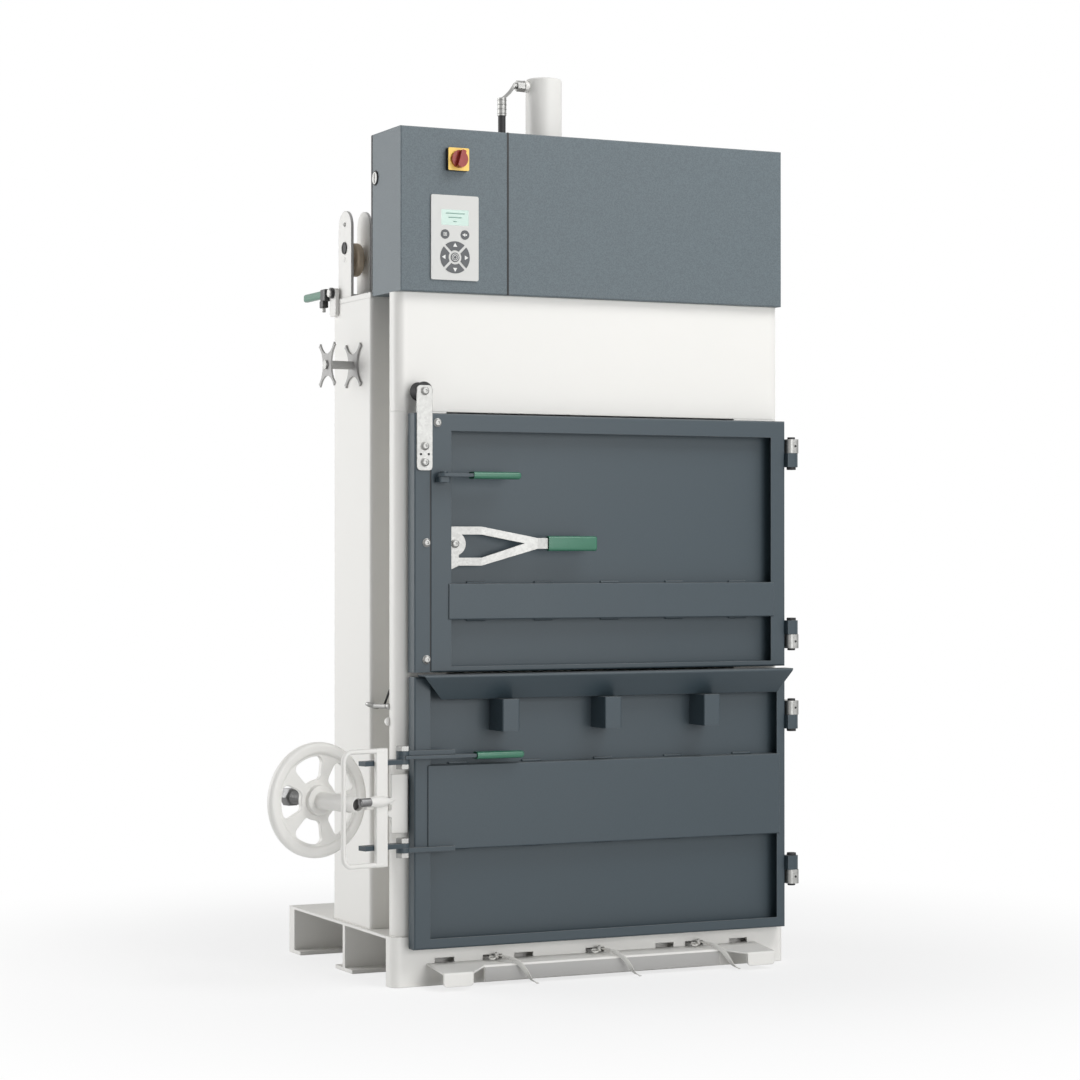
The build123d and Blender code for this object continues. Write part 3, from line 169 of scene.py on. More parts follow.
def rod(name, radius, start, end, sides=32):
    """Round bar between two points."""
    put_down()
    start, end = Vector(start), Vector(end)
    run = end - start
    turn = run.to_track_quat("Z", "X").to_euler()
    bpy.ops.mesh.primitive_cylinder_add(vertices=sides, radius=radius, depth=run.length,
                                        location=(start + end) / 2, rotation=turn)
    return settle(name)


def ring(name, radius, thick, centre, axis, around=40, section=14):
    put_down()
    turn = Vector(axis).to_track_quat("Z", "X").to_euler()
    bpy.ops.mesh.primitive_torus_add(major_radius=radius, minor_radius=thick, major_segments=around,
                                     minor_segments=section, location=centre, rotation=turn)
    return settle(name)


def pick(piece, kind, test):
    """Selects faces or edges by their middle and direction, and leaves the piece in edit mode."""
    take(piece)
    bpy.ops.object.mode_set(mode="EDIT")
    bpy.ops.mesh.select_mode(type=kind)
    bpy.ops.mesh.select_all(action="DESELECT")
    bpy.ops.object.mode_set(mode="OBJECT")
    mesh = piece.data
    if kind == "FACE":
        for face in mesh.polygons:
            face.select = bool(test(face.center, face.normal))
    else:
        for edge in mesh.edges:
            first, last = (mesh.vertices[index].co for index in edge.vertices)
            edge.select = bool(test((first + last) / 2, (last - first).normalized()))
    bpy.ops.object.mode_set(mode="EDIT")


def soften(piece, kind, test, offset, segments=3):
    """Rounds the edges, or the rims of the faces, that the test picks."""
    pick(piece, kind, test)
    bpy.ops.mesh.bevel(offset=offset, segments=segments, affect="EDGES")
    put_down()
    return piece


def soften_all(piece, offset, segments=2):
    return soften(piece, "EDGE", lambda middle, way: True, offset, segments)


def facing(way):
    """Test for the faces that look one way."""
    return lambda middle, normal: normal.dot(way) > 0.9


def along(axis):
    """Test for the edges along an axis, or for the faces at both its ends."""
    return lambda middle, way: abs(way.dot(axis)) > 0.9


def dished(piece, way, rim, sink):
    """Insets the faces that look one way and sinks them."""
    pick(piece, "FACE", facing(way))
    bpy.ops.mesh.inset(thickness=rim)
    bpy.ops.transform.translate(value=way * -sink)
    put_down()
    return piece


def extruded(move):
    bpy.ops.mesh.extrude_region_move(TRANSFORM_OT_translate={"value": move})


def ridged(piece, axis, cuts, swell):
    """Cuts a bar across its length and swells every second ring."""
    axis = Vector(axis).normalized()
    pick(piece, "EDGE", along(axis))
    bpy.ops.mesh.subdivide(number_cuts=cuts)
    put_down()
    spots = sorted({round(point.co.dot(axis), 6) for point in piece.data.vertices})
    raised = set(spots[2:-2:2])
    middle = sum((point.co for point in piece.data.vertices), Vector()) / len(piece.data.vertices)
    pick(piece, "EDGE", lambda place, way: abs(way.dot(axis)) < 0.01 and round(place.dot(axis), 6) in raised)
    stretch = tuple(1 if abs(part) > 0.9 else swell for part in axis)
    bpy.ops.transform.resize(value=stretch, center_override=middle)
    put_down()
    return piece


def cut_out(piece, tool):
    """Takes a tool's shape out of a piece."""
    take(piece)
    step = piece.modifiers.new("Cut", "BOOLEAN")
    step.operation, step.solver, step.object = "DIFFERENCE", "EXACT", tool
    bpy.ops.object.modifier_apply(modifier=step.name)
    take(tool)
    bpy.ops.object.delete()
    return take(piece)


def joined(name, parts):
    put_down()
    for part in parts:
        part.select_set(True)
    bpy.context.view_layer.objects.active = parts[0]
    bpy.ops.object.join()
    piece = bpy.context.object
    piece.name = piece.data.name = name
    return piece


def copied(piece, name, move):
    """Copy with its own mesh, moved by a matrix."""
    put_down()
    twin = piece.copy()
    twin.data = piece.data.copy()
    twin.name = twin.data.name = name
    bpy.context.collection.objects.link(twin)
    twin.data.transform(move)
    return twin


def new_curve(name, depth, rounds, steps):
    """Empty curve with a round section."""
    put_down()
    curve = bpy.data.curves.new(name, "CURVE")
    curve.dimensions, curve.use_fill_caps, curve.resolution_u = "3D", True, steps
    curve.bevel_depth, curve.bevel_resolution = depth, rounds
    piece = bpy.data.objects.new(name, curve)
    bpy.context.collection.objects.link(piece)
    return piece, curve


def finished(piece, body, finish, angle=38):
    """Closes and shades the mesh, and gives it its body and its finish."""
    take(piece)
    bpy.ops.object.mode_set(mode="EDIT")
    bpy.ops.mesh.select_all(action="SELECT")
    bpy.ops.mesh.remove_doubles(threshold=1e-6)
    bpy.ops.mesh.normals_make_consistent(inside=False)
    bpy.ops.object.mode_set(mode="OBJECT")
    bpy.ops.object.shade_smooth_by_angle(angle=math.radians(angle))
    piece.data.materials.clear()
    piece.data.materials.append(finish_of(finish))
    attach(piece, body)
    put_down()
    return piece


# Nodes that all finishes are built from

def node(tree, kind, **settings):
    made = tree.nodes.new(kind)
    for key, value in settings.items():
        setattr(made, key, value)
    return made


def shade(tree, kind, inputs=None, **settings):
    """Shader node with input values by name."""
    made = node(tree, "ShaderNode" + kind, **settings)
    for key, value in (inputs or {}).items():
        if isinstance(value, NodeSocket):
            tree.links.new(value, made.inputs[key])
        else:
            made.inputs[key].default_value = value
    return made


def feed(tree, shader, **sources):
    for key, source in sources.items():
        tree.links.new(source, shader.inputs[key.replace("_", " ")])


def arranged(tree):
    """Sets the nodes out in columns, each to the left of the nodes that it feeds."""
    column = dict.fromkeys(tree.nodes.keys(), 0)
    for _ in column:
        for link in tree.links:
            source = link.from_node.name
            column[source] = max(column[source], column[link.to_node.name] + 1)
    filled = {}
    for name, place in column.items():
        filled[place] = filled.get(place, 0) + 1
        tree.nodes[name].location = (-260 * place, -240 * filled[place])


def on_piece(tree):
    """The piece's own coordinates."""
    return shade(tree, "TexCoord").outputs["Object"]


def worked(tree, operation, first, second):
    return shade(tree, "Math", {0: first, 1: second}, operation=operation).outputs[0]


def spread(tree, source, low, high, start=0.0, end=1.0, **settings):
    """Values from start to end, spread from low to high."""
    return shade(tree, "MapRange", {"Value": source, "From Min": start, "From Max": end, "To Min": low,
                                    "To Max": high}, **settings).outputs[0]


def noise(tree, place, scale, detail, rough=0.5):
    return shade(tree, "TexNoise", {"Vector": place, "Scale": scale, "Detail": detail, "Roughness": rough}).outputs[0]


def wave(tree, place, scale, distortion=0.0, **settings):
    return shade(tree, "TexWave", {"Vector": place, "Scale": scale, "Distortion": distortion}, **settings).outputs[1]


def mix(tree, factor, low, high):
    """Colour between two colours or sockets."""
    made = shade(tree, "Mix", {0: factor}, data_type="RGBA")
    for socket, source in ((made.inputs[6], low), (made.inputs[7], high)):
        if isinstance(source, NodeSocket):
            tree.links.new(source, socket)
        else:
            socket.default_value = (*source, 1)
    return made.outputs[2]


# Node groups that several finishes share

def effect(name, numbers, outputs):
    group = bpy.data.node_groups.new(name, "ShaderNodeTree")
    for label, default in numbers.items():
        group.interface.new_socket(label, in_out="INPUT", socket_type="NodeSocketFloat").default_value = default
    for label, kind in outputs.items():
        group.interface.new_socket(label, in_out="OUTPUT", socket_type="NodeSocket" + kind)
    return group, node(group, "NodeGroupInput").outputs, node(group, "NodeGroupOutput")


def grain_effect():
    """Fine grain of a sprayed or moulded surface, and slow changes of tone over it."""
    group, given, result = effect("Grain", {"Fine": 600, "Slow": 4}, {"Height": "Float", "Tone": "Float"})
    place = on_piece(group)
    feed(group, result, Height=noise(group, place, given["Fine"], 2, 0.55),
         Tone=noise(group, place, given["Slow"], 5, 0.6))


def edge_effect():
    """Soft edges of folded sheet, and a mask that lightens them: partly where the finish wears thin, partly a painted
    highlight along the folds.
    """
    group, given, result = effect("Edges", {"Radius": 0.002, "Wear": 0.4}, {"Mask": "Float", "Normal": "Vector"})
    soft = shade(group, "Bevel", {"Radius": given["Radius"]}, samples=6).outputs[0]
    flat = shade(group, "NewGeometry").outputs["Normal"]
    alike = shade(group, "VectorMath", {0: soft, 1: flat}, operation="DOT_PRODUCT").outputs["Value"]
    turned = spread(group, alike, 0, 1, 0.995, 0.8)
    # Patchy share of the lighter edges: partly wear, partly a painted highlight.
    wear_and_highlight_patches = spread(group, noise(group, on_piece(group), 55, 4), 0.5, 1, 0.42, 0.62)
    share = worked(group, "MULTIPLY", worked(group, "MULTIPLY", turned, wear_and_highlight_patches), given["Wear"])
    feed(group, result, Mask=share, Normal=soft)


def dust_effect():
    """Thin dust on what faces up."""
    group, given, result = effect("Dust", {"Amount": 0.3}, {"Mask": "Float"})
    flat = shade(group, "NewGeometry").outputs["Normal"]
    upward = spread(group, shade(group, "SeparateXYZ", {0: flat}).outputs["Z"], 0, 1, 0.35)
    patchy = noise(group, on_piece(group), 14, 6, 0.65)
    feed(group, result, Mask=worked(group, "MULTIPLY", worked(group, "MULTIPLY", upward, patchy), given["Amount"]))


def use_effect(tree, name, **numbers):
    """Places a shared effect with this finish's own values."""
    if name not in bpy.data.node_groups:
        {"Grain": grain_effect, "Edges": edge_effect, "Dust": dust_effect}[name]()
        arranged(bpy.data.node_groups[name])
    made = node(tree, "ShaderNodeGroup", node_tree=bpy.data.node_groups[name])
    for key, value in numbers.items():
        made.inputs[key].default_value = value
    return made.outputs


# Finishes

dust_tint = (0.52, 0.5, 0.46)


def new_finish(name, **values):
    """Material with its shader; plain values go straight onto the shader."""
    finish = bpy.data.materials.new(name)
    finish.use_nodes = True
    tree = finish.node_tree
    tree.nodes.clear()
    result = shade(tree, "OutputMaterial")
    shader = shade(tree, "BsdfPrincipled", {key.replace("_", " "): value for key, value in values.items()})
    feed(tree, result, Surface=shader.outputs[0])
    return finish, tree, shader


def toned(tint, share):
    return tuple(min(part * share, 1) for part in tint)


def paler(tint, level, share):
    """A tint moved by a share towards a pale grey."""
    return tuple(part + (level - part) * share for part in tint)


def swayed(tree, tone, tint, swing):
    """A tint that sways a little with the tone."""
    return mix(tree, tone, toned(tint, 1 - swing), toned(tint, 1 + swing))


def bumped(tree, shader, height, depth, normal=None):
    inputs = {"Strength": 1, "Distance": depth, "Height": height}
    if normal:
        inputs["Normal"] = normal
    feed(tree, shader, Normal=shade(tree, "Bump", inputs).outputs[0])


def painted(name, tint, fine, depth, rough, radius=0.002, speckle=0.0, wear=0.25, dust=0.2, swing=0.05):
    """Powder coat: grain, slow tone, thin edges made lighter by wear and by a painted highlight, and a little dust."""
    finish, tree, shader = new_finish(name)
    grain = use_effect(tree, "Grain", Fine=fine, Slow=3.5)
    edges = use_effect(tree, "Edges", Radius=radius, Wear=wear)
    dusty = use_effect(tree, "Dust", Amount=dust)
    base = swayed(tree, grain["Tone"], tint, swing)
    if speckle:
        base = mix(tree, spread(tree, grain["Height"], speckle, 0, 0.38, 0.6), base, toned(tint, 0.45))
    # Lighter edges: partly wear, partly a painted highlight along the folds.
    base = mix(tree, edges["Mask"], base, paler(tint, 0.75, 0.35))
    base = mix(tree, dusty["Mask"], base, dust_tint)
    matt = spread(tree, grain["Tone"], rough - 0.06, rough + 0.06)
    feed(tree, shader, Base_Color=base, Roughness=worked(tree, "ADD", matt, dusty["Mask"]))
    bumped(tree, shader, grain["Height"], depth, edges["Normal"])
    return finish


def plated(name, tint, rough, radius=0.0008, crystal=220):
    """Plated metal: crystal flakes of slightly different tone and gloss."""
    finish, tree, shader = new_finish(name, Metallic=1.0)
    flakes = shade(tree, "TexVoronoi", {"Vector": on_piece(tree), "Scale": crystal})
    grey = shade(tree, "SeparateColor", {0: flakes.outputs["Color"]}).outputs[0]
    grain = use_effect(tree, "Grain", Fine=900, Slow=24)
    edges = use_effect(tree, "Edges", Radius=radius, Wear=0.0)
    base = mix(tree, grey, toned(tint, 0.88), toned(tint, 1.05))
    base = mix(tree, spread(tree, grain["Tone"], 0.35, 0, 0.35, 0.55), base, toned(tint, 0.7))
    feed(tree, shader, Base_Color=base, Roughness=spread(tree, grain["Tone"], rough - 0.08, rough + 0.1))
    bumped(tree, shader, grain["Height"], 0.00004, edges["Normal"])
    return finish


def moulded(name, tint, fine, depth, rough, radius=0.0006, swing=0.08, **values):
    """Moulded plastic, vinyl or rubber with a fine skin."""
    finish, tree, shader = new_finish(name, **values)
    grain = use_effect(tree, "Grain", Fine=fine, Slow=30)
    edges = use_effect(tree, "Edges", Radius=radius, Wear=0.2)
    base = swayed(tree, grain["Tone"], tint, swing)
    # Lighter edges: partly wear, partly a painted highlight along the folds.
    base = mix(tree, edges["Mask"], base, paler(tint, 0.6, 0.25))
    feed(tree, shader, Base_Color=base, Roughness=spread(tree, grain["Tone"], rough - 0.08, rough + 0.08))
    bumped(tree, shader, grain["Height"], depth, edges["Normal"])
    return finish


def chromed(name, tint):
    """Ground and chromed rod: fine rings along its length."""
    finish, tree, shader = new_finish(name, Metallic=1.0)
    rings = wave(tree, on_piece(tree), 420, 1.5, bands_direction="Z")
    grain = use_effect(tree, "Grain", Fine=700, Slow=9)
    feed(tree, shader, Base_Color=mix(tree, grain["Tone"], toned(tint, 0.9), tint),
         Roughness=spread(tree, grain["Tone"], 0.08, 0.2))
    bumped(tree, shader, rings, 0.00001)
    return finish


def turned_nylon(name, tint):
    """Cast nylon turned on a lathe: rings round the roller's axis and soft fibres."""
    finish, tree, shader = new_finish(name)
    low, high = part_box("guide_roller")
    centred = shade(tree, "Mapping", {"Vector": on_piece(tree), "Location": -(low + high) / 2}).outputs[0]
    rings = wave(tree, centred, 130, 0.6, wave_type="RINGS", rings_direction="X")
    grain = use_effect(tree, "Grain", Fine=500, Slow=60)
    base = mix(tree, grain["Tone"], toned(tint, 0.75), toned(tint, 1.15))
    base = mix(tree, spread(tree, rings, 0, 0.3), base, toned(tint, 0.6))
    feed(tree, shader, Base_Color=base, Roughness=spread(tree, rings, 0.45, 0.6))
    bumped(tree, shader, rings, 0.0001)
    return finish


def woven(name, tint):
    """Strap weave: ribs across each other, with lighter crowns."""
    finish, tree, shader = new_finish(name)
    place = on_piece(tree)
    cloth = worked(tree, "MULTIPLY", wave(tree, place, 260, 0.8, bands_direction="DIAGONAL"),
                   wave(tree, place, 330, 0.8, bands_direction="X"))
    grain = use_effect(tree, "Grain", Fine=900, Slow=40)
    base = mix(tree, cloth, toned(tint, 0.72), tint)
    base = mix(tree, spread(tree, grain["Tone"], 0.25, 0), base, toned(tint, 0.8))
    feed(tree, shader, Base_Color=base, Roughness=spread(tree, cloth, 0.85, 0.6))
    bumped(tree, shader, cloth, 0.00015)
    return finish


def display_glass(name, tint):
    """Display behind a clear window: fine cells and a soft painted glow in slow patches."""
    finish, tree, shader = new_finish(name, Roughness=0.22, Coat_Weight=0.6, Coat_Roughness=0.08)
    place = on_piece(tree)
    cells = worked(tree, "MULTIPLY", wave(tree, place, 520, bands_direction="X"),
                   wave(tree, place, 520, bands_direction="Z"))
    grain = use_effect(tree, "Grain", Fine=300, Slow=45)
    base = mix(tree, cells, toned(tint, 0.93), toned(tint, 1.06))
    feed(tree, shader, Base_Color=mix(tree, spread(tree, grain["Tone"], 0, 0.4), base, toned(tint, 1.12)))
    return finish


made_finishes = {}


def finish_of(name):
    """The finish by its slot, made when it is first asked for."""
    if name in made_finishes:
        return made_finishes[name]
    tint = colours()
    recipes = {
        "white_paint": lambda: painted(name, tint.frame_white, 420, 0.00006, 0.42, radius=0.003, swing=0.015),
        # Hood and doors take more of the lighter edges, partly wear and partly a painted highlight along their folds.
        "hood_paint": lambda: painted(name, tint.hood_grey, 430, 0.0004, 0.5, radius=0.002, speckle=0.45, wear=0.5),
        "door_paint": lambda: painted(name, tint.door_grey, 520, 0.0001, 0.46, radius=0.0018, speckle=0.12, wear=0.45),
        "black_paint": lambda: painted(name, tint.black, 500, 0.00008, 0.4, radius=0.001),
        # Grey that is painted shade on the foot bar's front, and the strap star's own grey.
        "grey_and_painted_shade": lambda: painted(name, tint.step, 300, 0.00012, 0.5, radius=0.001),
        "motor_grey": lambda: painted(name, tint.motor, 240, 0.00025, 0.5, radius=0.0015, dust=0.4),
        "zinc": lambda: plated(name, tint.zinc, 0.44),
        "dark_steel": lambda: plated(name, tint.steel, 0.42, crystal=320),
        "hard_chrome": lambda: chromed(name, tint.chrome),
        "green_grip": lambda: moulded(name, tint.grip_green, 260, 0.00012, 0.36, radius=0.001,
                                      Coat_Weight=0.25, Coat_Roughness=0.3),
        "black_rubber": lambda: moulded(name, tint.rubber, 700, 0.00012, 0.62),
        "tan_plastic": lambda: turned_nylon(name, tint.tan),
        "switch_yellow": lambda: moulded(name, tint.yellow, 800, 0.00002, 0.34),
        "switch_red": lambda: moulded(name, tint.red, 800, 0.00002, 0.3),
        "switch_black": lambda: moulded(name, tint.black, 700, 0.00004, 0.45),
        "panel_face": lambda: moulded(name, tint.foil, 900, 0.00003, 0.42, swing=0.02),
        "display": lambda: display_glass(name, tint.display),
        "keys": lambda: moulded(name, tint.key, 900, 0.00003, 0.5),
        "strap": lambda: woven(name, tint.strap),
        "print_white": lambda: moulded(name, tint.key_print, 900, 0.00001, 0.5, swing=0.03),
        "print_dark": lambda: moulded(name, tint.line_print, 900, 0.00001, 0.4, swing=0.1),
    }
    made_finishes[name] = recipes[name]()
    arranged(made_finishes[name].node_tree)
    return made_finishes[name]


# Stage

def backdrop_rays(tree):
    """Rays that see the white backdrop: those of the camera, of gloss and through glass."""
    seen = shade(tree, "LightPath").outputs
    glossy = worked(tree, "MAXIMUM", seen["Is Camera Ray"], seen["Is Glossy Ray"])
    return worked(tree, "MAXIMUM", glossy, seen["Is Transmission Ray"])


def blended(tree, output, share, first, second):
    """Puts out a blend of two shaders."""
    result = shade(tree, output)
    both = shade(tree, "MixShader", {0: share, 1: first.outputs[0], 2: second.outputs[0]})
    feed(tree, result, Surface=both.outputs[0])
    arranged(tree)


def studio_floor():
    """Paper that goes over into the white backdrop away from the baler."""
    put_down()
    bpy.ops.mesh.primitive_plane_add(size=60, location=(0, 0, -0.0006))
    floor = settle("studio_floor")
    finish = bpy.data.materials.new("studio_floor")
    finish.use_nodes = True
    tree = finish.node_tree
    tree.nodes.clear()
    away = shade(tree, "VectorMath", {0: on_piece(tree)}, operation="LENGTH").outputs["Value"]
    near, far, white_near = 0.6, 1.9, 0.72
    fade = spread(tree, away, 0, 1, near, far, interpolation_type="SMOOTHSTEP")
    fade = worked(tree, "MULTIPLY", spread(tree, fade, white_near, 1), backdrop_rays(tree))
    paper = shade(tree, "BsdfDiffuse", {"Color": (0.9, 0.9, 0.9, 1)})
    white = shade(tree, "Emission", {"Color": (1, 1, 1, 1), "Strength": 1})
    blended(tree, "OutputMaterial", fade, paper, white)
    floor.data.materials.append(finish)


def studio_world(level):
    world = bpy.data.worlds.new("studio_world")
    bpy.context.scene.world = world
    world.use_nodes = True
    tree = world.node_tree
    tree.nodes.clear()
    light = shade(tree, "Background", {"Color": (0.97, 0.985, 1, 1), "Strength": level})
    white = shade(tree, "Background", {"Color": (1, 1, 1, 1), "Strength": 1})
    blended(tree, "OutputWorld", backdrop_rays(tree), light, white)


def softbox(name, place, target, side, power):
    put_down()
    turn = (Vector(target) - Vector(place)).to_track_quat("-Z", "Y").to_euler()
    bpy.ops.object.light_add(type="AREA", location=place, rotation=turn)
    lamp = bpy.context.object
    lamp.name = name
    lamp.data.shape = "SQUARE"
    lamp.data.size = side
    lamp.data.energy = power


def photo_camera():
    put_down()
    place, tilt, heading = (-2.7559, -5.7433, 0.9086), math.radians(90.33), math.radians(-25.56)
    bpy.ops.object.camera_add(location=place, rotation=(tilt, 0, heading))
    camera = bpy.context.object
    camera.name = "photo_camera"
    camera.data.lens = 94.0
    camera.data.sensor_width = 36.0
    bpy.context.scene.camera = camera


class BALER_OT_stage(Operator):
    """Sets the pale floor, the soft light and the camera"""
    bl_idname = "baler.stage"
    bl_label = "Stage"

    def execute(self, context):
        studio_floor()
        studio_world(0.24)
        front = (0, -0.2, 0.9)
        softbox("high_softbox", (1.2, -2.4, 4.0), front, 2.0, 78)
        softbox("front_softbox", (0.9, -6.2, 1.4), front, 3.0, 145)
        softbox("side_softbox", (-3.4, 2.2, 1.8), (-0.46, 0, 1.0), 3.0, 105)
        photo_camera()
        context.scene.view_settings.view_transform = "Standard"
        return {"FINISHED"}


# Straps

strap_route = ((0, 0.032, 0.053), (0, 0.006, 0.053), (0.002, -0.012, 0.057), (0.008, -0.028, 0.058),
               (0.020, -0.042, 0.055), (0.034, -0.055, 0.047), (0.044, -0.064, 0.035),
               (0.051, -0.070, 0.021), (0.057, -0.076, 0.009), (0.066, -0.088, 0.0035))
strap_tilts = (90, 90, 85, 60, 25, 0, 0, 10, 50, 90)


def strap_tail(name, outlet, front):
    """Flat strap out of its slot, over the foot bar and down to the floor."""
    half = sizes().strap_thick / 2
    strap, curve = new_curve(name, half, 2, 10)
    curve.twist_mode = "Z_UP"
    curve.extrude = sizes().strap_width / 2 - half
    spline = curve.splines.new("NURBS")
    spline.points.add(len(strap_route) - 1)
    for point, (along, out, high), tilt in zip(spline.points, strap_route, strap_tilts):
        point.co = (outlet + along, front + out, high, 1)
        point.tilt = math.radians(tilt)
    spline.order_u = 3
    spline.use_endpoint_u = True
    curve.materials.append(finish_of("strap"))
    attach(strap, "frame")
    return strap


def strap_knot(name, outlet, front):
    """Knot round the strap at its slot, with a small three-cornered loop lying beside it on the foot bar."""
    spot = Vector((outlet + 0.003, front - 0.015, 0.0578))
    knot = ring("knot", 0.0036, 0.0036, spot, (1, -0.7, 0.2), 20, 10)
    loop = ring("loop", 0.0155, 0.0022, spot + Vector((-0.014, -0.005, -0.004)), (0.05, -0.3, 1), 3, 8)
    round_off = loop.modifiers.new("Round", "SUBSURF")
    round_off.levels = 2
    take(loop)
    bpy.ops.object.modifier_apply(modifier=round_off.name)
    return finished(joined(name, [knot, loop]), "frame", "strap", angle=60)


class BALER_OT_straps(Operator):
    """Lays the three tying straps out of their slots"""
    bl_idname = "baler.straps"
    bl_label = "Straps"

    def execute(self, context):
        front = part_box("base_front_beam")[0].y
        for side in ("left", "middle", "right"):
            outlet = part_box(side + "_strap")[0].x + 0.002
            strap = strap_tail(side + "_strap_tail", outlet, front)
            knot = strap_knot(side + "_strap_knot", outlet, front)
            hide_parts(side + "_strap")
        return {"FINISHED"}


# Grips and screws

def dipped_grip(name, solid, axis, body):
    """Vinyl grip dipped over a flat bar: round sides, a domed far end and a thin lip."""
    low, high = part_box(solid)
    grip = block(name, low, high)
    thin = min(part for part, way in zip(high - low, axis) if not way)
    soften(grip, "EDGE", along(axis), thin * 0.4, 5)
    soften(grip, "FACE", facing(axis), thin * 0.38, 6)
    dished(grip, -axis, thin * 0.1, thin * 0.06)
    finished(grip, body, "green_grip")
    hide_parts(solid)


class BALER_OT_grips(Operator):
    """Dips the four green grips over their levers"""
    bl_idname = "baler.grips"
    bl_label = "Grips"

    def execute(self, context):
        for lever, axis, body in (("catch", X, "catch"), ("fork", X, "fork"), ("lock", X, "lock_handle"),
                                  ("ejector", Y, "ejector")):
            dipped_grip(lever + "_dipped_grip", lever + "_grip", axis, body)
        return {"FINISHED"}


def button_screw(name):
    """Flanged button head with a key socket, its seat at the origin and its head towards -Y."""
    radius, rise, key = sizes().screw_head / 2, sizes().screw_rise, sizes().socket / 2
    screw = rod(name, radius, (0, 0, 0), (0, -rise * 0.26, 0))
    pick(screw, "FACE", facing(-Y))
    bpy.ops.mesh.inset(thickness=radius * 0.14)
    extruded((0, -rise * 0.44, 0))
    extruded((0, -rise * 0.3, 0))
    bpy.ops.transform.resize(value=(0.7, 1, 0.7), center_override=(0, -rise, 0))
    put_down()
    soften(screw, "EDGE", lambda middle, way: middle.y < -rise * 0.2 and abs(way.y) < 0.1 and middle.xz.length > key,
           rise * 0.08, 2)
    return cut_out(screw, rod("key_socket", key, (0, -rise * 1.2, 0), (0, -rise * 0.68, 0), 6))


class BALER_OT_door_screws(Operator):
    """Sets the button-head screws of the upper door's strip, corner and interlock plate"""
    bl_idname = "baler.door_screws"
    bl_label = "Door screws"

    def execute(self, context):
        plate_low, plate_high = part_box("interlock_plate")
        low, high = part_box("upper_lock_strip")
        bracket_low, bracket_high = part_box("roller_bracket")
        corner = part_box("upper_door_pan")[0].x + 0.016
        fork_face, fork_height = -0.2882, 0.935
        fork_pivot = (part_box("upper_door_fittings")[1].x - 0.011, fork_face, fork_height)
        middle = (plate_low.x + plate_high.x) / 2
        strip, height = low.x + 0.0275, high.z - low.z
        places = [(middle, plate_low.y, plate_low.z + 0.017), (middle, plate_low.y, plate_low.z + 0.051),
                  (middle, plate_low.y, plate_high.z - 0.012), (strip, low.y, low.z + height * 0.05),
                  (strip, low.y, low.z + height * 0.5), (corner, low.y, high.z - 0.020)]
        bracket_seat = (bracket_low.x, (bracket_low.y + bracket_high.y) / 2, bracket_high.z - 0.030)
        small_and_sideways = Matrix.Rotation(-math.pi / 2, 4, "Z") @ Matrix.Scale(0.55, 4)
        seats = [(f"door_screw_{count + 1}", "upper_door", Matrix.Translation(place))
                 for count, place in enumerate(places)]
        seats += [("fork_screw", "upper_door", Matrix.Translation(fork_pivot)),
                  ("bracket_screw", "frame", Matrix.Translation(bracket_seat) @ small_and_sideways)]
        pattern = button_screw("door_screw")
        for name, body, seat in seats:
            finished(copied(pattern, name, seat), body, "zinc", angle=30)
        take(pattern)
        bpy.ops.object.delete()
        for count, shift in enumerate((-0.009, 0.009)):
            seat = (middle + shift, plate_low.y, plate_low.z + 0.034)
            set_screw(f"interlock_set_screw_{count + 1}", seat, "upper_door")
        return {"FINISHED"}


# Hinge caps

def pin_cap(name, seat, way, radius):
    """Black cap on the end of a hinge pin, dished and rounded on its far side."""
    seat, way = Vector(seat), Vector(way)
    cap = rod(name, radius, seat, seat + way * radius * 0.56, 28)
    soften(cap, "FACE", facing(way), radius * 0.15, 3)
    dished(cap, way, radius * 0.25, radius * 0.06)
    return finished(cap, "frame", "black_rubber")


def set_screw(name, seat, body="frame"):
    """Small sunk socket screw that faces the front."""
    screw = rod(name, 0.0026, seat, Vector(seat) - Y * 0.0004, 20)
    dished(screw, -Y, 0.0009, 0.0003)
    return finished(screw, body, "black_rubber")


class BALER_OT_hinge_caps(Operator):
    """Puts the black caps on the hinge pins and the set screws in the hinge blocks"""
    bl_idname = "baler.hinge_caps"
    bl_label = "Hinge caps"

    def execute(self, context):
        low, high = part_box("hinge_blocks")
        axis_x = (low.x + high.x) / 2
        axis_y = low.y + (high.x - low.x) / 2
        leaf, gap = 0.031, 0.0003
        count = 0
        for lugs in ("upper_hinge_lugs", "lower_hinge_lugs"):
            bottom, top = (corner.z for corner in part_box(lugs))
            for split, way in ((top + gap, Z), (bottom - gap, -Z)):
                count += 1
                block_end = Vector((axis_x, axis_y, split)) + way * leaf
                lug_end = Vector((axis_x, axis_y, split)) - way * (leaf + 2 * gap)
                pin_cap(f"hinge_cap_{count}_block", block_end, way, sizes().cap * 0.42)
                pin_cap(f"hinge_cap_{count}_lug", lug_end, -way, sizes().cap / 2)
                set_screw(f"hinge_set_screw_{count}", Vector((axis_x + 0.0025, low.y, split)) + way * leaf / 2)
        return {"FINISHED"}


# Seals and seams

def soft_bar(name, low, high, finish, body="frame", corner=0.3):
    """Rounded bar of rubber between two corners."""
    bar = block(name, low, high)
    thin = min(Vector(high) - Vector(low))
    soften_all(bar, thin * corner, 3)
    return finished(bar, body, finish)


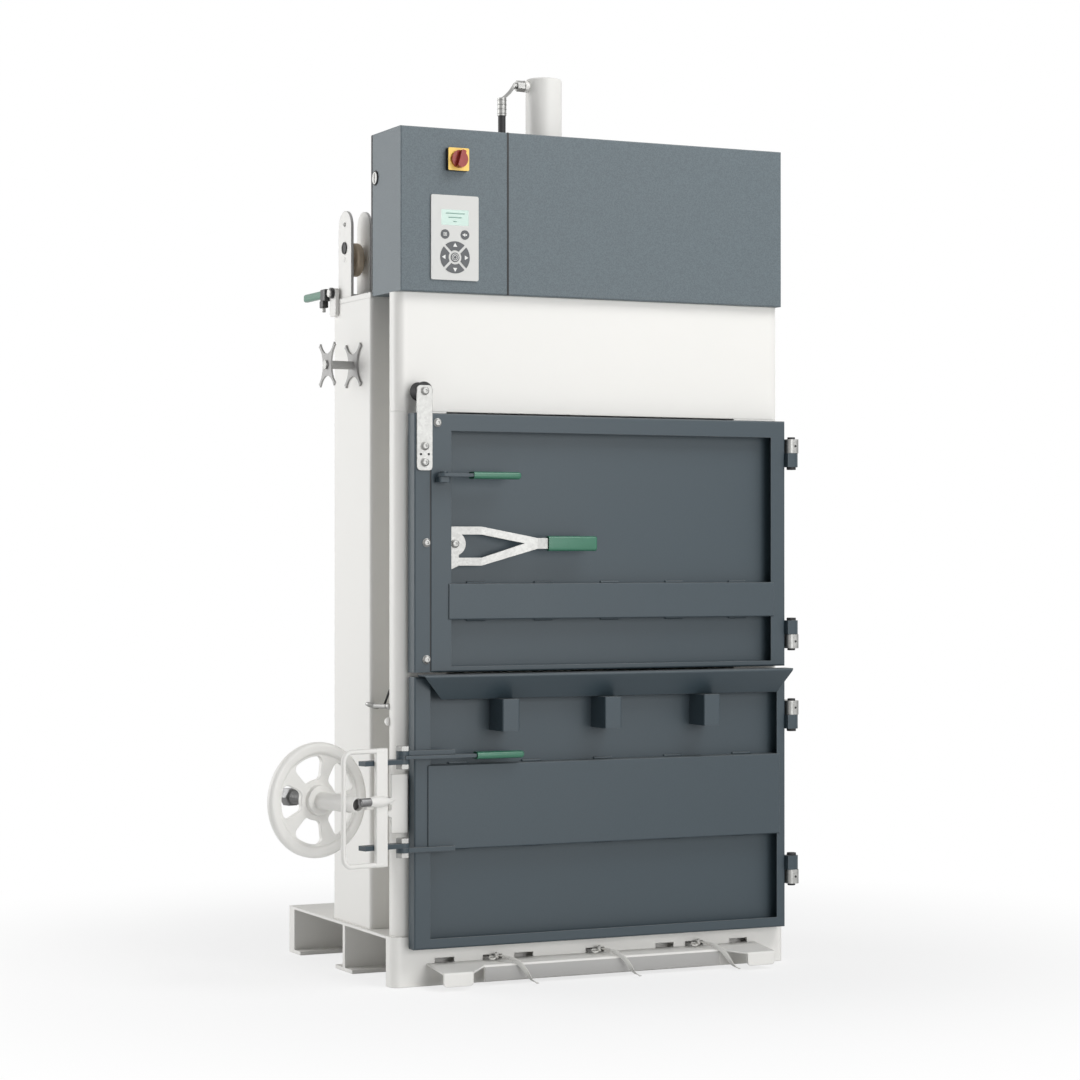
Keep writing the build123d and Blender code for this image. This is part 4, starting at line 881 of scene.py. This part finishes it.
class BALER_OT_hood_seals(Operator):
    """Lays the rubber seals round the hood's rear edge and in the joint between its two covers"""
    bl_idname = "baler.hood_seals"
    bl_label = "Hood seals"

    def execute(self, context):
        cabinet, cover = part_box("control_cabinet"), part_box("hydraulic_cover")
        left, right, joint = cabinet[0], cover[1], (cabinet[1].x + cover[0].x) / 2
        rear, foot, top = right.y, left.z + 0.013, right.z
        width, lap, proud, skin = sizes().seal, 0.002, 0.0006, 0.0003
        bars = [block("bar", (left.x - proud, rear - lap, foot), (left.x + width - proud, rear + width, top)),
                block("bar", (right.x + proud - width, rear - lap, foot), (right.x + proud, rear + width, top)),
                block("bar", (left.x, rear - lap, top - width + proud), (right.x, rear + width, top + proud))]
        seal = soften_all(joined("hood_edge_seal", bars), 0.0018, 3)
        finished(seal, "frame", "black_rubber")
        half, deep = sizes().seam, 0.004
        bars = [block("bar", (joint - half, left.y - skin, left.z), (joint + half, left.y + deep, top)),
                block("bar", (joint - half, left.y, top - deep), (joint + half, rear, top + skin))]
        seal = soften_all(joined("hood_joint_seal", bars), 0.0006, 2)
        finished(seal, "frame", "black_rubber")
        low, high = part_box("hood_lock")
        bezel = ring("hood_lock_bezel", (high.z - low.z) / 2 + 0.001, 0.0022,
                     (left.x - proud, (low.y + high.y) / 2, (low.z + high.z) / 2), X)
        finished(bezel, "frame", "black_rubber")
        return {"FINISHED"}


class BALER_OT_strip_seam(Operator):
    """Draws the dark joint between the upper door's lock strip and its pan"""
    bl_idname = "baler.strip_seam"
    bl_label = "Strip seam"

    def execute(self, context):
        low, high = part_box("upper_lock_strip")
        half = sizes().seam / 2
        soft_bar("strip_joint", (high.x - half, low.y - 0.0003, low.z + 0.003),
                 (high.x + half, low.y + 0.001, high.z - 0.003), "black_rubber", "upper_door", 0.15)
        return {"FINISHED"}


# Print on the control panel

def flat_mark(corners, radius, place, turn=0.0, line=0.0):
    """Flat mark facing -Y with equal sides, filled or drawn as a line."""
    put_down()
    bpy.ops.mesh.primitive_circle_add(vertices=corners, radius=radius, fill_type="NGON", location=place,
                                      rotation=(math.pi / 2, turn, 0))
    mark = settle("mark")
    pick(mark, "FACE", lambda middle, way: True)
    if line:
        bpy.ops.mesh.inset(thickness=line)
        bpy.ops.mesh.delete(type="FACE")
        bpy.ops.mesh.select_all(action="SELECT")
    extruded((0, -sizes().mark, 0))
    put_down()
    return mark


class BALER_OT_panel_print(Operator):
    """Prints plain arrows and rings on the panel's keys and lines on its display"""
    bl_idname = "baler.panel_print"
    bl_label = "Panel print"

    def execute(self, context):
        low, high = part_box("panel_keys")
        middle, face = (low.x + high.x) / 2, low.y
        centre = Vector((middle, face, low.z + (high.x - low.x) / 2))
        marks = [flat_mark(32, 0.0078, centre, 0, 0.0012), flat_mark(32, 0.0044, centre, 0, 0.0011)]
        for count in range(4):
            angle = count * math.pi / 2
            place = centre + 0.0252 * Vector((math.sin(angle), 0, math.cos(angle)))
            marks.append(flat_mark(3, 0.0056, place, angle))
        key = Vector((middle - 0.023, face, high.z - 0.010))
        marks += [flat_mark(4, 0.0052, key, math.pi / 4, 0.0011), flat_mark(4, 0.002, key, math.pi / 4)]
        key.x = middle + 0.023
        marks += [flat_mark(3, 0.0046, key - X * 0.002, -math.pi / 2),
                  flat_mark(4, 0.0024, key + X * 0.0026, math.pi / 4)]
        finished(joined("key_print", marks), "frame", "print_white")
        low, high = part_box("panel_display")
        width, height = high.x - low.x, high.z - low.z
        lines = []
        for rise, start, end in ((0.76, 0.16, 0.86), (0.5, 0.26, 0.74), (0.24, 0.44, 0.56)):
            z = low.z + height * rise
            lines.append(block("line", (low.x + width * start, low.y - sizes().mark, z - 0.0011),
                               (low.x + width * end, low.y, z + 0.0011)))
        text = soften_all(joined("display_lines", lines), sizes().mark * 0.4, 1)
        finished(text, "frame", "print_dark")
        return {"FINISHED"}


# Welds

def weld_bead(name, start, end, body, finish):
    """Rippled fillet weld along X."""
    start, end = Vector(start), Vector(end)
    bead = rod(name, sizes().bead * 0.84, start, end, 12)
    ridged(bead, X, 2 * round((end - start).length / sizes().ripple) - 1, 1.18)
    soften(bead, "FACE", along(X), sizes().bead * 0.4, 2)
    return finished(bead, body, finish, angle=60)


class BALER_OT_door_welds(Operator):
    """Lays the stitch welds along both edges of the doors' stiffeners"""
    bl_idname = "baler.door_welds"
    bl_label = "Door welds"

    def execute(self, context):
        half_length = 0.023
        for door in ("upper", "lower"):
            low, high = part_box(door + "_door_stiffener")
            middle, half = (low.x + high.x) / 2, (high.x - low.x) / 2 - 0.006
            for edge, z in (("top", high.z + 0.001), ("low", low.z - 0.001)):
                for count, share in enumerate((-0.82, -0.41, 0.0, 0.41, 0.82)):
                    x = middle + half * share
                    weld_bead(f"{door}_door_weld_{edge}_{count + 1}", (x - half_length, high.y - 0.0012, z),
                              (x + half_length, high.y - 0.0012, z), door + "_door", "door_paint")
        return {"FINISHED"}


# Lock

# Across the lock's own plan, from its pivot to the spindle
spindle_side = -0.116


def joint_row(name):
    return next(joint for joint in frame["record"]["behaviour"]["joints"] if joint["name"] == name)


def lock_place():
    """The lock's own plan: its pivot at the origin, the spindle at its height, swung out as the wheel shows."""
    wheel, pivot = joint_row("handwheel_turn"), joint_row("lock_swing")["pos_m"]
    return (Matrix.Translation((pivot[0], pivot[1], wheel["pos_m"][2]))
            @ Matrix.Rotation(math.atan2(wheel["axis"][0], -wheel["axis"][1]), 4, "Z"))


def bent_bar(name, corners, bend, radius):
    """Round bar along straight runs with round bends."""
    corners = [Vector(corner) for corner in corners]
    bar, curve = new_curve(name, radius, 4, 8)
    knots = [(corners[0], corners[0], corners[0])]
    for before, corner, after in zip(corners, corners[1:], corners[2:]):
        back, ahead = (before - corner).normalized() * bend, (after - corner).normalized() * bend
        knots += [(corner + back, corner + back * 1.3, corner + back * 0.448),
                  (corner + ahead, corner + ahead * 0.448, corner + ahead * 1.3)]
    knots.append((corners[-1], corners[-1], corners[-1]))
    spline = curve.splines.new("BEZIER")
    spline.bezier_points.add(len(knots) - 1)
    for point, (place, left, right) in zip(spline.bezier_points, knots):
        point.handle_left_type = point.handle_right_type = "FREE"
        point.co, point.handle_left, point.handle_right = place, left, right
    take(bar)
    bpy.ops.object.convert(target="MESH")
    return bpy.context.object


def pointed_sleeve(name, start, end, radius):
    """Sleeve along X that swells between two pointed ends."""
    put_down()
    bpy.ops.mesh.primitive_uv_sphere_add(segments=32, ring_count=24, radius=1, rotation=(0, math.pi / 2, 0))
    sleeve = settle(name)
    for point in sleeve.data.vertices:
        point.co.x = 1 - 2 * math.acos(max(-1, min(1, point.co.x))) / math.pi
    half = (end[0] - start[0]) / 2
    sleeve.data.transform(Matrix.Translation((Vector(start) + Vector(end)) / 2)
                          @ Matrix.Diagonal((half, radius, radius, 1)))
    return sleeve


class BALER_OT_lock_yoke(Operator):
    """Forms the lock's yoke: flat leg, bent round bar, pointed sleeve, spindle collar and the pin in the sleeve"""
    bl_idname = "baler.lock_yoke"
    bl_label = "Lock yoke"

    def execute(self, context):
        place = lock_place()
        low, high = ((place.inverted() @ corner).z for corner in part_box("lock_yoke"))
        right, left, face, back = -0.053, -0.167, -0.022, -0.012
        leg = soften_all(block("leg", (right - 0.029, face, low), (right, back, high)), 0.002, 3)
        bar, line, joint = 0.0052, (face + back) / 2, right - 0.01
        loop = bent_bar("loop", [(joint, line, high - bar), (left + bar, line, high - bar),
                                 (left + bar, line, low + bar), (joint, line, low + bar)], 0.020, bar)
        level, pin_start, pin_end = 0.006, -0.124, -0.085
        sleeve = pointed_sleeve("sleeve", (-0.122, face, level), (-0.036, face, level), 0.0118)
        collar = rod("collar", 0.0162, (spindle_side, -0.004, 0), (spindle_side, 0.025, 0), 40)
        soften(collar, "FACE", facing(-Y), 0.0015, 3)
        cut_out(collar, rod("bore", 0.0129, (spindle_side, -0.01, 0), (spindle_side, 0.03, 0), 40))
        link = soften_all(block("link", (-0.1015, back - 0.001, -0.0105), (right - 0.003, 0.016, 0.0105)), 0.0015, 2)
        yoke = joined("formed_yoke", [leg, loop, sleeve, collar, link])
        yoke.data.transform(place)
        finished(yoke, "lock", "white_paint")
        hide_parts("lock_yoke")
        pin = rod("yoke_pin", 0.0088, (pin_start, face, level), (pin_end, face, level), 36)
        soften(pin, "FACE", facing(-X), 0.0014, 3)
        dished(pin, -X, 0.003, 0.004)
        pin.data.transform(place)
        finished(pin, "lock", "dark_steel")
        return {"FINISHED"}


class BALER_OT_spindle_thread(Operator):
    """Turns the lock's spindle with its thread and its nut behind the wheel"""
    bl_idname = "baler.spindle_thread"
    bl_label = "Spindle thread"

    def execute(self, context):
        place = lock_place()
        wheel = joint_row("handwheel_turn")
        axis = -Vector(wheel["axis"])
        radius, nut_flats, thread_start, turns = 0.0125, 0.036, 0.038, 8
        start = Vector(wheel["pos_m"]) + axis * thread_start
        tip, nut_start, nut_end = ((spindle_side, along_axis, 0) for along_axis in (0.010, 0.236, 0.262))
        bar = soften(rod("bar", radius, tip, nut_start, 40), "FACE", facing(-Y), 0.0015, 2)
        nut = soften(rod("nut", nut_flats / math.sqrt(3), nut_start, nut_end, 6), "FACE", along(Y), 0.002, 2)
        spindle = joined("turned_spindle", [bar, nut])
        spindle.data.transform(place)
        finished(spindle, "spindle", "dark_steel")
        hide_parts("lock_spindle")
        put_down()
        bpy.ops.mesh.primitive_circle_add(vertices=4, radius=sizes().thread, fill_type="NOTHING",
                                          location=(radius, 0, 0), rotation=(math.pi / 2, 0, 0))
        thread = settle("spindle_thread")
        wind = thread.modifiers.new("Wind", "SCREW")
        wind.axis, wind.angle, wind.screw_offset, wind.iterations = "Z", 2 * math.pi, sizes().pitch, turns
        wind.steps = wind.render_steps = 28
        bpy.ops.object.modifier_apply(modifier=wind.name)
        pick(thread, "EDGE", lambda middle, way: True)
        bpy.ops.mesh.fill_holes(sides=4)
        put_down()
        thread.data.transform(Matrix.Translation(start) @ axis.to_track_quat("Z", "X").to_matrix().to_4x4())
        finished(thread, "spindle", "dark_steel", angle=50)
        return {"FINISHED"}


# Small fittings

class BALER_OT_hose_crimps(Operator):
    """Presses the crimp rings into the hose's ferrule"""
    bl_idname = "baler.hose_crimps"
    bl_label = "Hose crimps"

    def execute(self, context):
        low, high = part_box("pressure_hose")
        x, y, run = (low.x + high.x) / 2, (low.y + high.y) / 2, 0.040
        rings = []
        for count in range(sizes().crimps):
            z = high.z + run * (count + 0.5) / sizes().crimps
            rings.append(ring("crimp", 0.0100, 0.0009, (x, y, z), Z, 36, 10))
        finished(joined("ferrule_crimps", rings), "frame", "zinc")
        return {"FINISHED"}


class BALER_OT_roller_plug(Operator):
    """Closes the spare hole in the roller bracket with a black plug"""
    bl_idname = "baler.roller_plug"
    bl_label = "Roller plug"

    def execute(self, context):
        low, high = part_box("roller_bracket")
        seat = Vector((low.x, (low.y + high.y) / 2, low.z + 0.110))
        plug = rod("roller_plug", 0.0136, seat, seat - X * 0.003, 32)
        soften(plug, "FACE", facing(-X), 0.0014, 3)
        dished(plug, -X, 0.0034, 0.0012)
        finished(plug, "frame", "black_rubber")
        return {"FINISHED"}


class BALER_OT_guide_roller(Operator):
    """Turns the crowned guide roller with its dished sides and its bore"""
    bl_idname = "baler.guide_roller"
    bl_label = "Guide roller"

    def execute(self, context):
        low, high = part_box("guide_roller")
        middle = (low + high) / 2
        roller = rod("crowned_roller", (high.z - low.z) / 2, (low.x, middle.y, middle.z),
                     (high.x, middle.y, middle.z), 64)
        soften(roller, "FACE", along(X), 0.006, 6)
        pick(roller, "FACE", along(X))
        bpy.ops.mesh.inset(thickness=0.006, depth=-0.002)
        put_down()
        reach = X * 0.02
        cut_out(roller, rod("bore", 0.0063, middle - reach, middle + reach, 32))
        finished(roller, "roller", "tan_plastic", angle=30)
        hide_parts("guide_roller")
        return {"FINISHED"}


class BALER_OT_foot_painted_shade(Operator):
    """Faces the front of the foot bar with a grey sheet that is painted shade, where the bar lies in shadow under the
    foot plate and the door
    """
    bl_idname = "baler.foot_strip"
    bl_label = "Foot strip"

    def execute(self, context):
        low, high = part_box("foot_bar")
        half, front = high.x - 0.114, high.y - 0.046
        # Grey sheet that paints the shade on the bar's front.
        strip = block("foot_bar_strip", (-half, front - 0.0014, low.z + 0.0006), (half, front, high.z - 0.0095))
        soften(strip, "FACE", facing(-Y), 0.001, 2)
        finished(strip, "frame", "grey_and_painted_shade")
        return {"FINISHED"}


class BALER_OT_ejector_clamp(Operator):
    """Clamps the ejector's lever between its eye and its grip, with a stop and its screw below"""
    bl_idname = "baler.ejector_clamp"
    bl_label = "Ejector clamp"

    def execute(self, context):
        low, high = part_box("ejector_lever")
        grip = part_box("ejector_grip")[0]
        clamp_start, stop_start, stop_end = 0.1135, 0.128, 0.149
        clamp = soften_all(block("clamp", (low.x - 0.005, clamp_start, low.z - 0.004),
                                 (high.x + 0.005, grip.y + 0.003, high.z - 0.001)), 0.003, 3)
        stop = soften_all(block("stop", (low.x - 0.004, stop_start, low.z - 0.018),
                                (high.x + 0.004, stop_end, low.z - 0.002)), 0.002, 3)
        finished(joined("ejector_clamp", [clamp, stop]), "ejector", "black_paint")
        x, y = (low.x + high.x) / 2, (stop_start + stop_end) / 2
        screw = rod("ejector_clamp_screw", 0.004, (x, y, low.z - 0.0275), (x, y, low.z - 0.017), 6)
        soften(screw, "FACE", facing(-Z), 0.0012, 2)
        finished(screw, "ejector", "zinc", angle=30)
        return {"FINISHED"}


class BALER_OT_post_hook(Operator):
    """Hangs the small hook with its eye, rod and spacers behind the left post"""
    bl_idname = "baler.post_hook"
    bl_label = "Post hook"

    def execute(self, context):
        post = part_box("front_posts")
        x, back, level = post[0].x + 0.002, post[1].y, 0.590
        out, below = x - 0.003, level - 0.032
        shaft = rod("shaft", 0.005, (out, back + 0.012, level), (out, back + 0.084, level - 0.002), 20)
        eye = ring("eye", 0.0115, 0.0044, (out, back + 0.094, level - 0.002), (0.35, 0, 1), 36, 12)
        collar = rod("collar", 0.0065, (x, back - 0.001, level), (x, back + 0.014, level), 24)
        ridged(collar, Y, 5, 0.86)
        finished(joined("post_hook", [shaft, eye, collar]), "frame", "zinc")
        wire = rod("post_hook_rod", 0.0024, (out, back + 0.026, level + 0.002), (x, back + 0.002, level + 0.036), 16)
        soften_all(wire, 0.0006, 2)
        finished(wire, "frame", "black_rubber")
        spacer = rod("post_spacer", 0.0095, (x, back - 0.001, below), (x, back + 0.012, below), 28)
        soften(spacer, "FACE", facing(Y), 0.003, 4)
        finished(spacer, "frame", "white_paint")
        return {"FINISHED"}


class BALER_OT_finishes(Operator):
    """Gives every solid of the frame its finish"""
    bl_idname = "baler.finishes"
    bl_label = "Finishes"

    def execute(self, context):
        # The strap star takes the grey of the painted shade on the foot bar as its own colour.
        seen_otherwise = {"strap_star": "grey_and_painted_shade", "ejector_bracket": "white_paint"}
        for name, solid in frame["nodes"].items():
            slot = solid.data.materials[0].name.split(".")[0]
            solid.material_slots[0].material = finish_of(seen_otherwise.get(name, slot))
        return {"FINISHED"}


pieces_in_order = [
    BALER_OT_stage, BALER_OT_straps, BALER_OT_finishes, BALER_OT_grips, BALER_OT_door_screws, BALER_OT_hinge_caps,
    BALER_OT_hood_seals, BALER_OT_strip_seam, BALER_OT_panel_print, BALER_OT_door_welds, BALER_OT_lock_yoke,
    BALER_OT_spindle_thread, BALER_OT_hose_crimps, BALER_OT_roller_plug, BALER_OT_guide_roller, BALER_OT_foot_painted_shade,
    BALER_OT_ejector_clamp, BALER_OT_post_hook]


class BALER_PT_panel(Panel):
    """Lists the baler's pieces, sizes and colours"""
    bl_idname = "BALER_PT_panel"
    bl_label = "Recycling baler"
    bl_space_type = "VIEW_3D"
    bl_region_type = "UI"
    bl_category = "Baler"

    def draw(self, context):
        for piece in pieces_in_order:
            self.layout.operator(piece.bl_idname)
        for group in (context.scene.baler_sizes, context.scene.baler_colours):
            box = self.layout.box()
            for key in group.bl_rna.properties.keys():
                if key not in ("rna_type", "name"):
                    box.prop(group, key)


classes = [BalerSizes, BalerColours, *pieces_in_order, BALER_PT_panel]


def register():
    for kind in classes:
        bpy.utils.register_class(kind)
    bpy.types.Scene.baler_sizes = PointerProperty(type=BalerSizes)
    bpy.types.Scene.baler_colours = PointerProperty(type=BalerColours)


def unregister():
    del bpy.types.Scene.baler_colours
    del bpy.types.Scene.baler_sizes
    for kind in reversed(classes):
        bpy.utils.unregister_class(kind)


def main():
    register()
    for piece in pieces_in_order:
        group, name = piece.bl_idname.split(".")
        getattr(getattr(bpy.ops, group), name)()


if __name__ == "__main__":
    main()
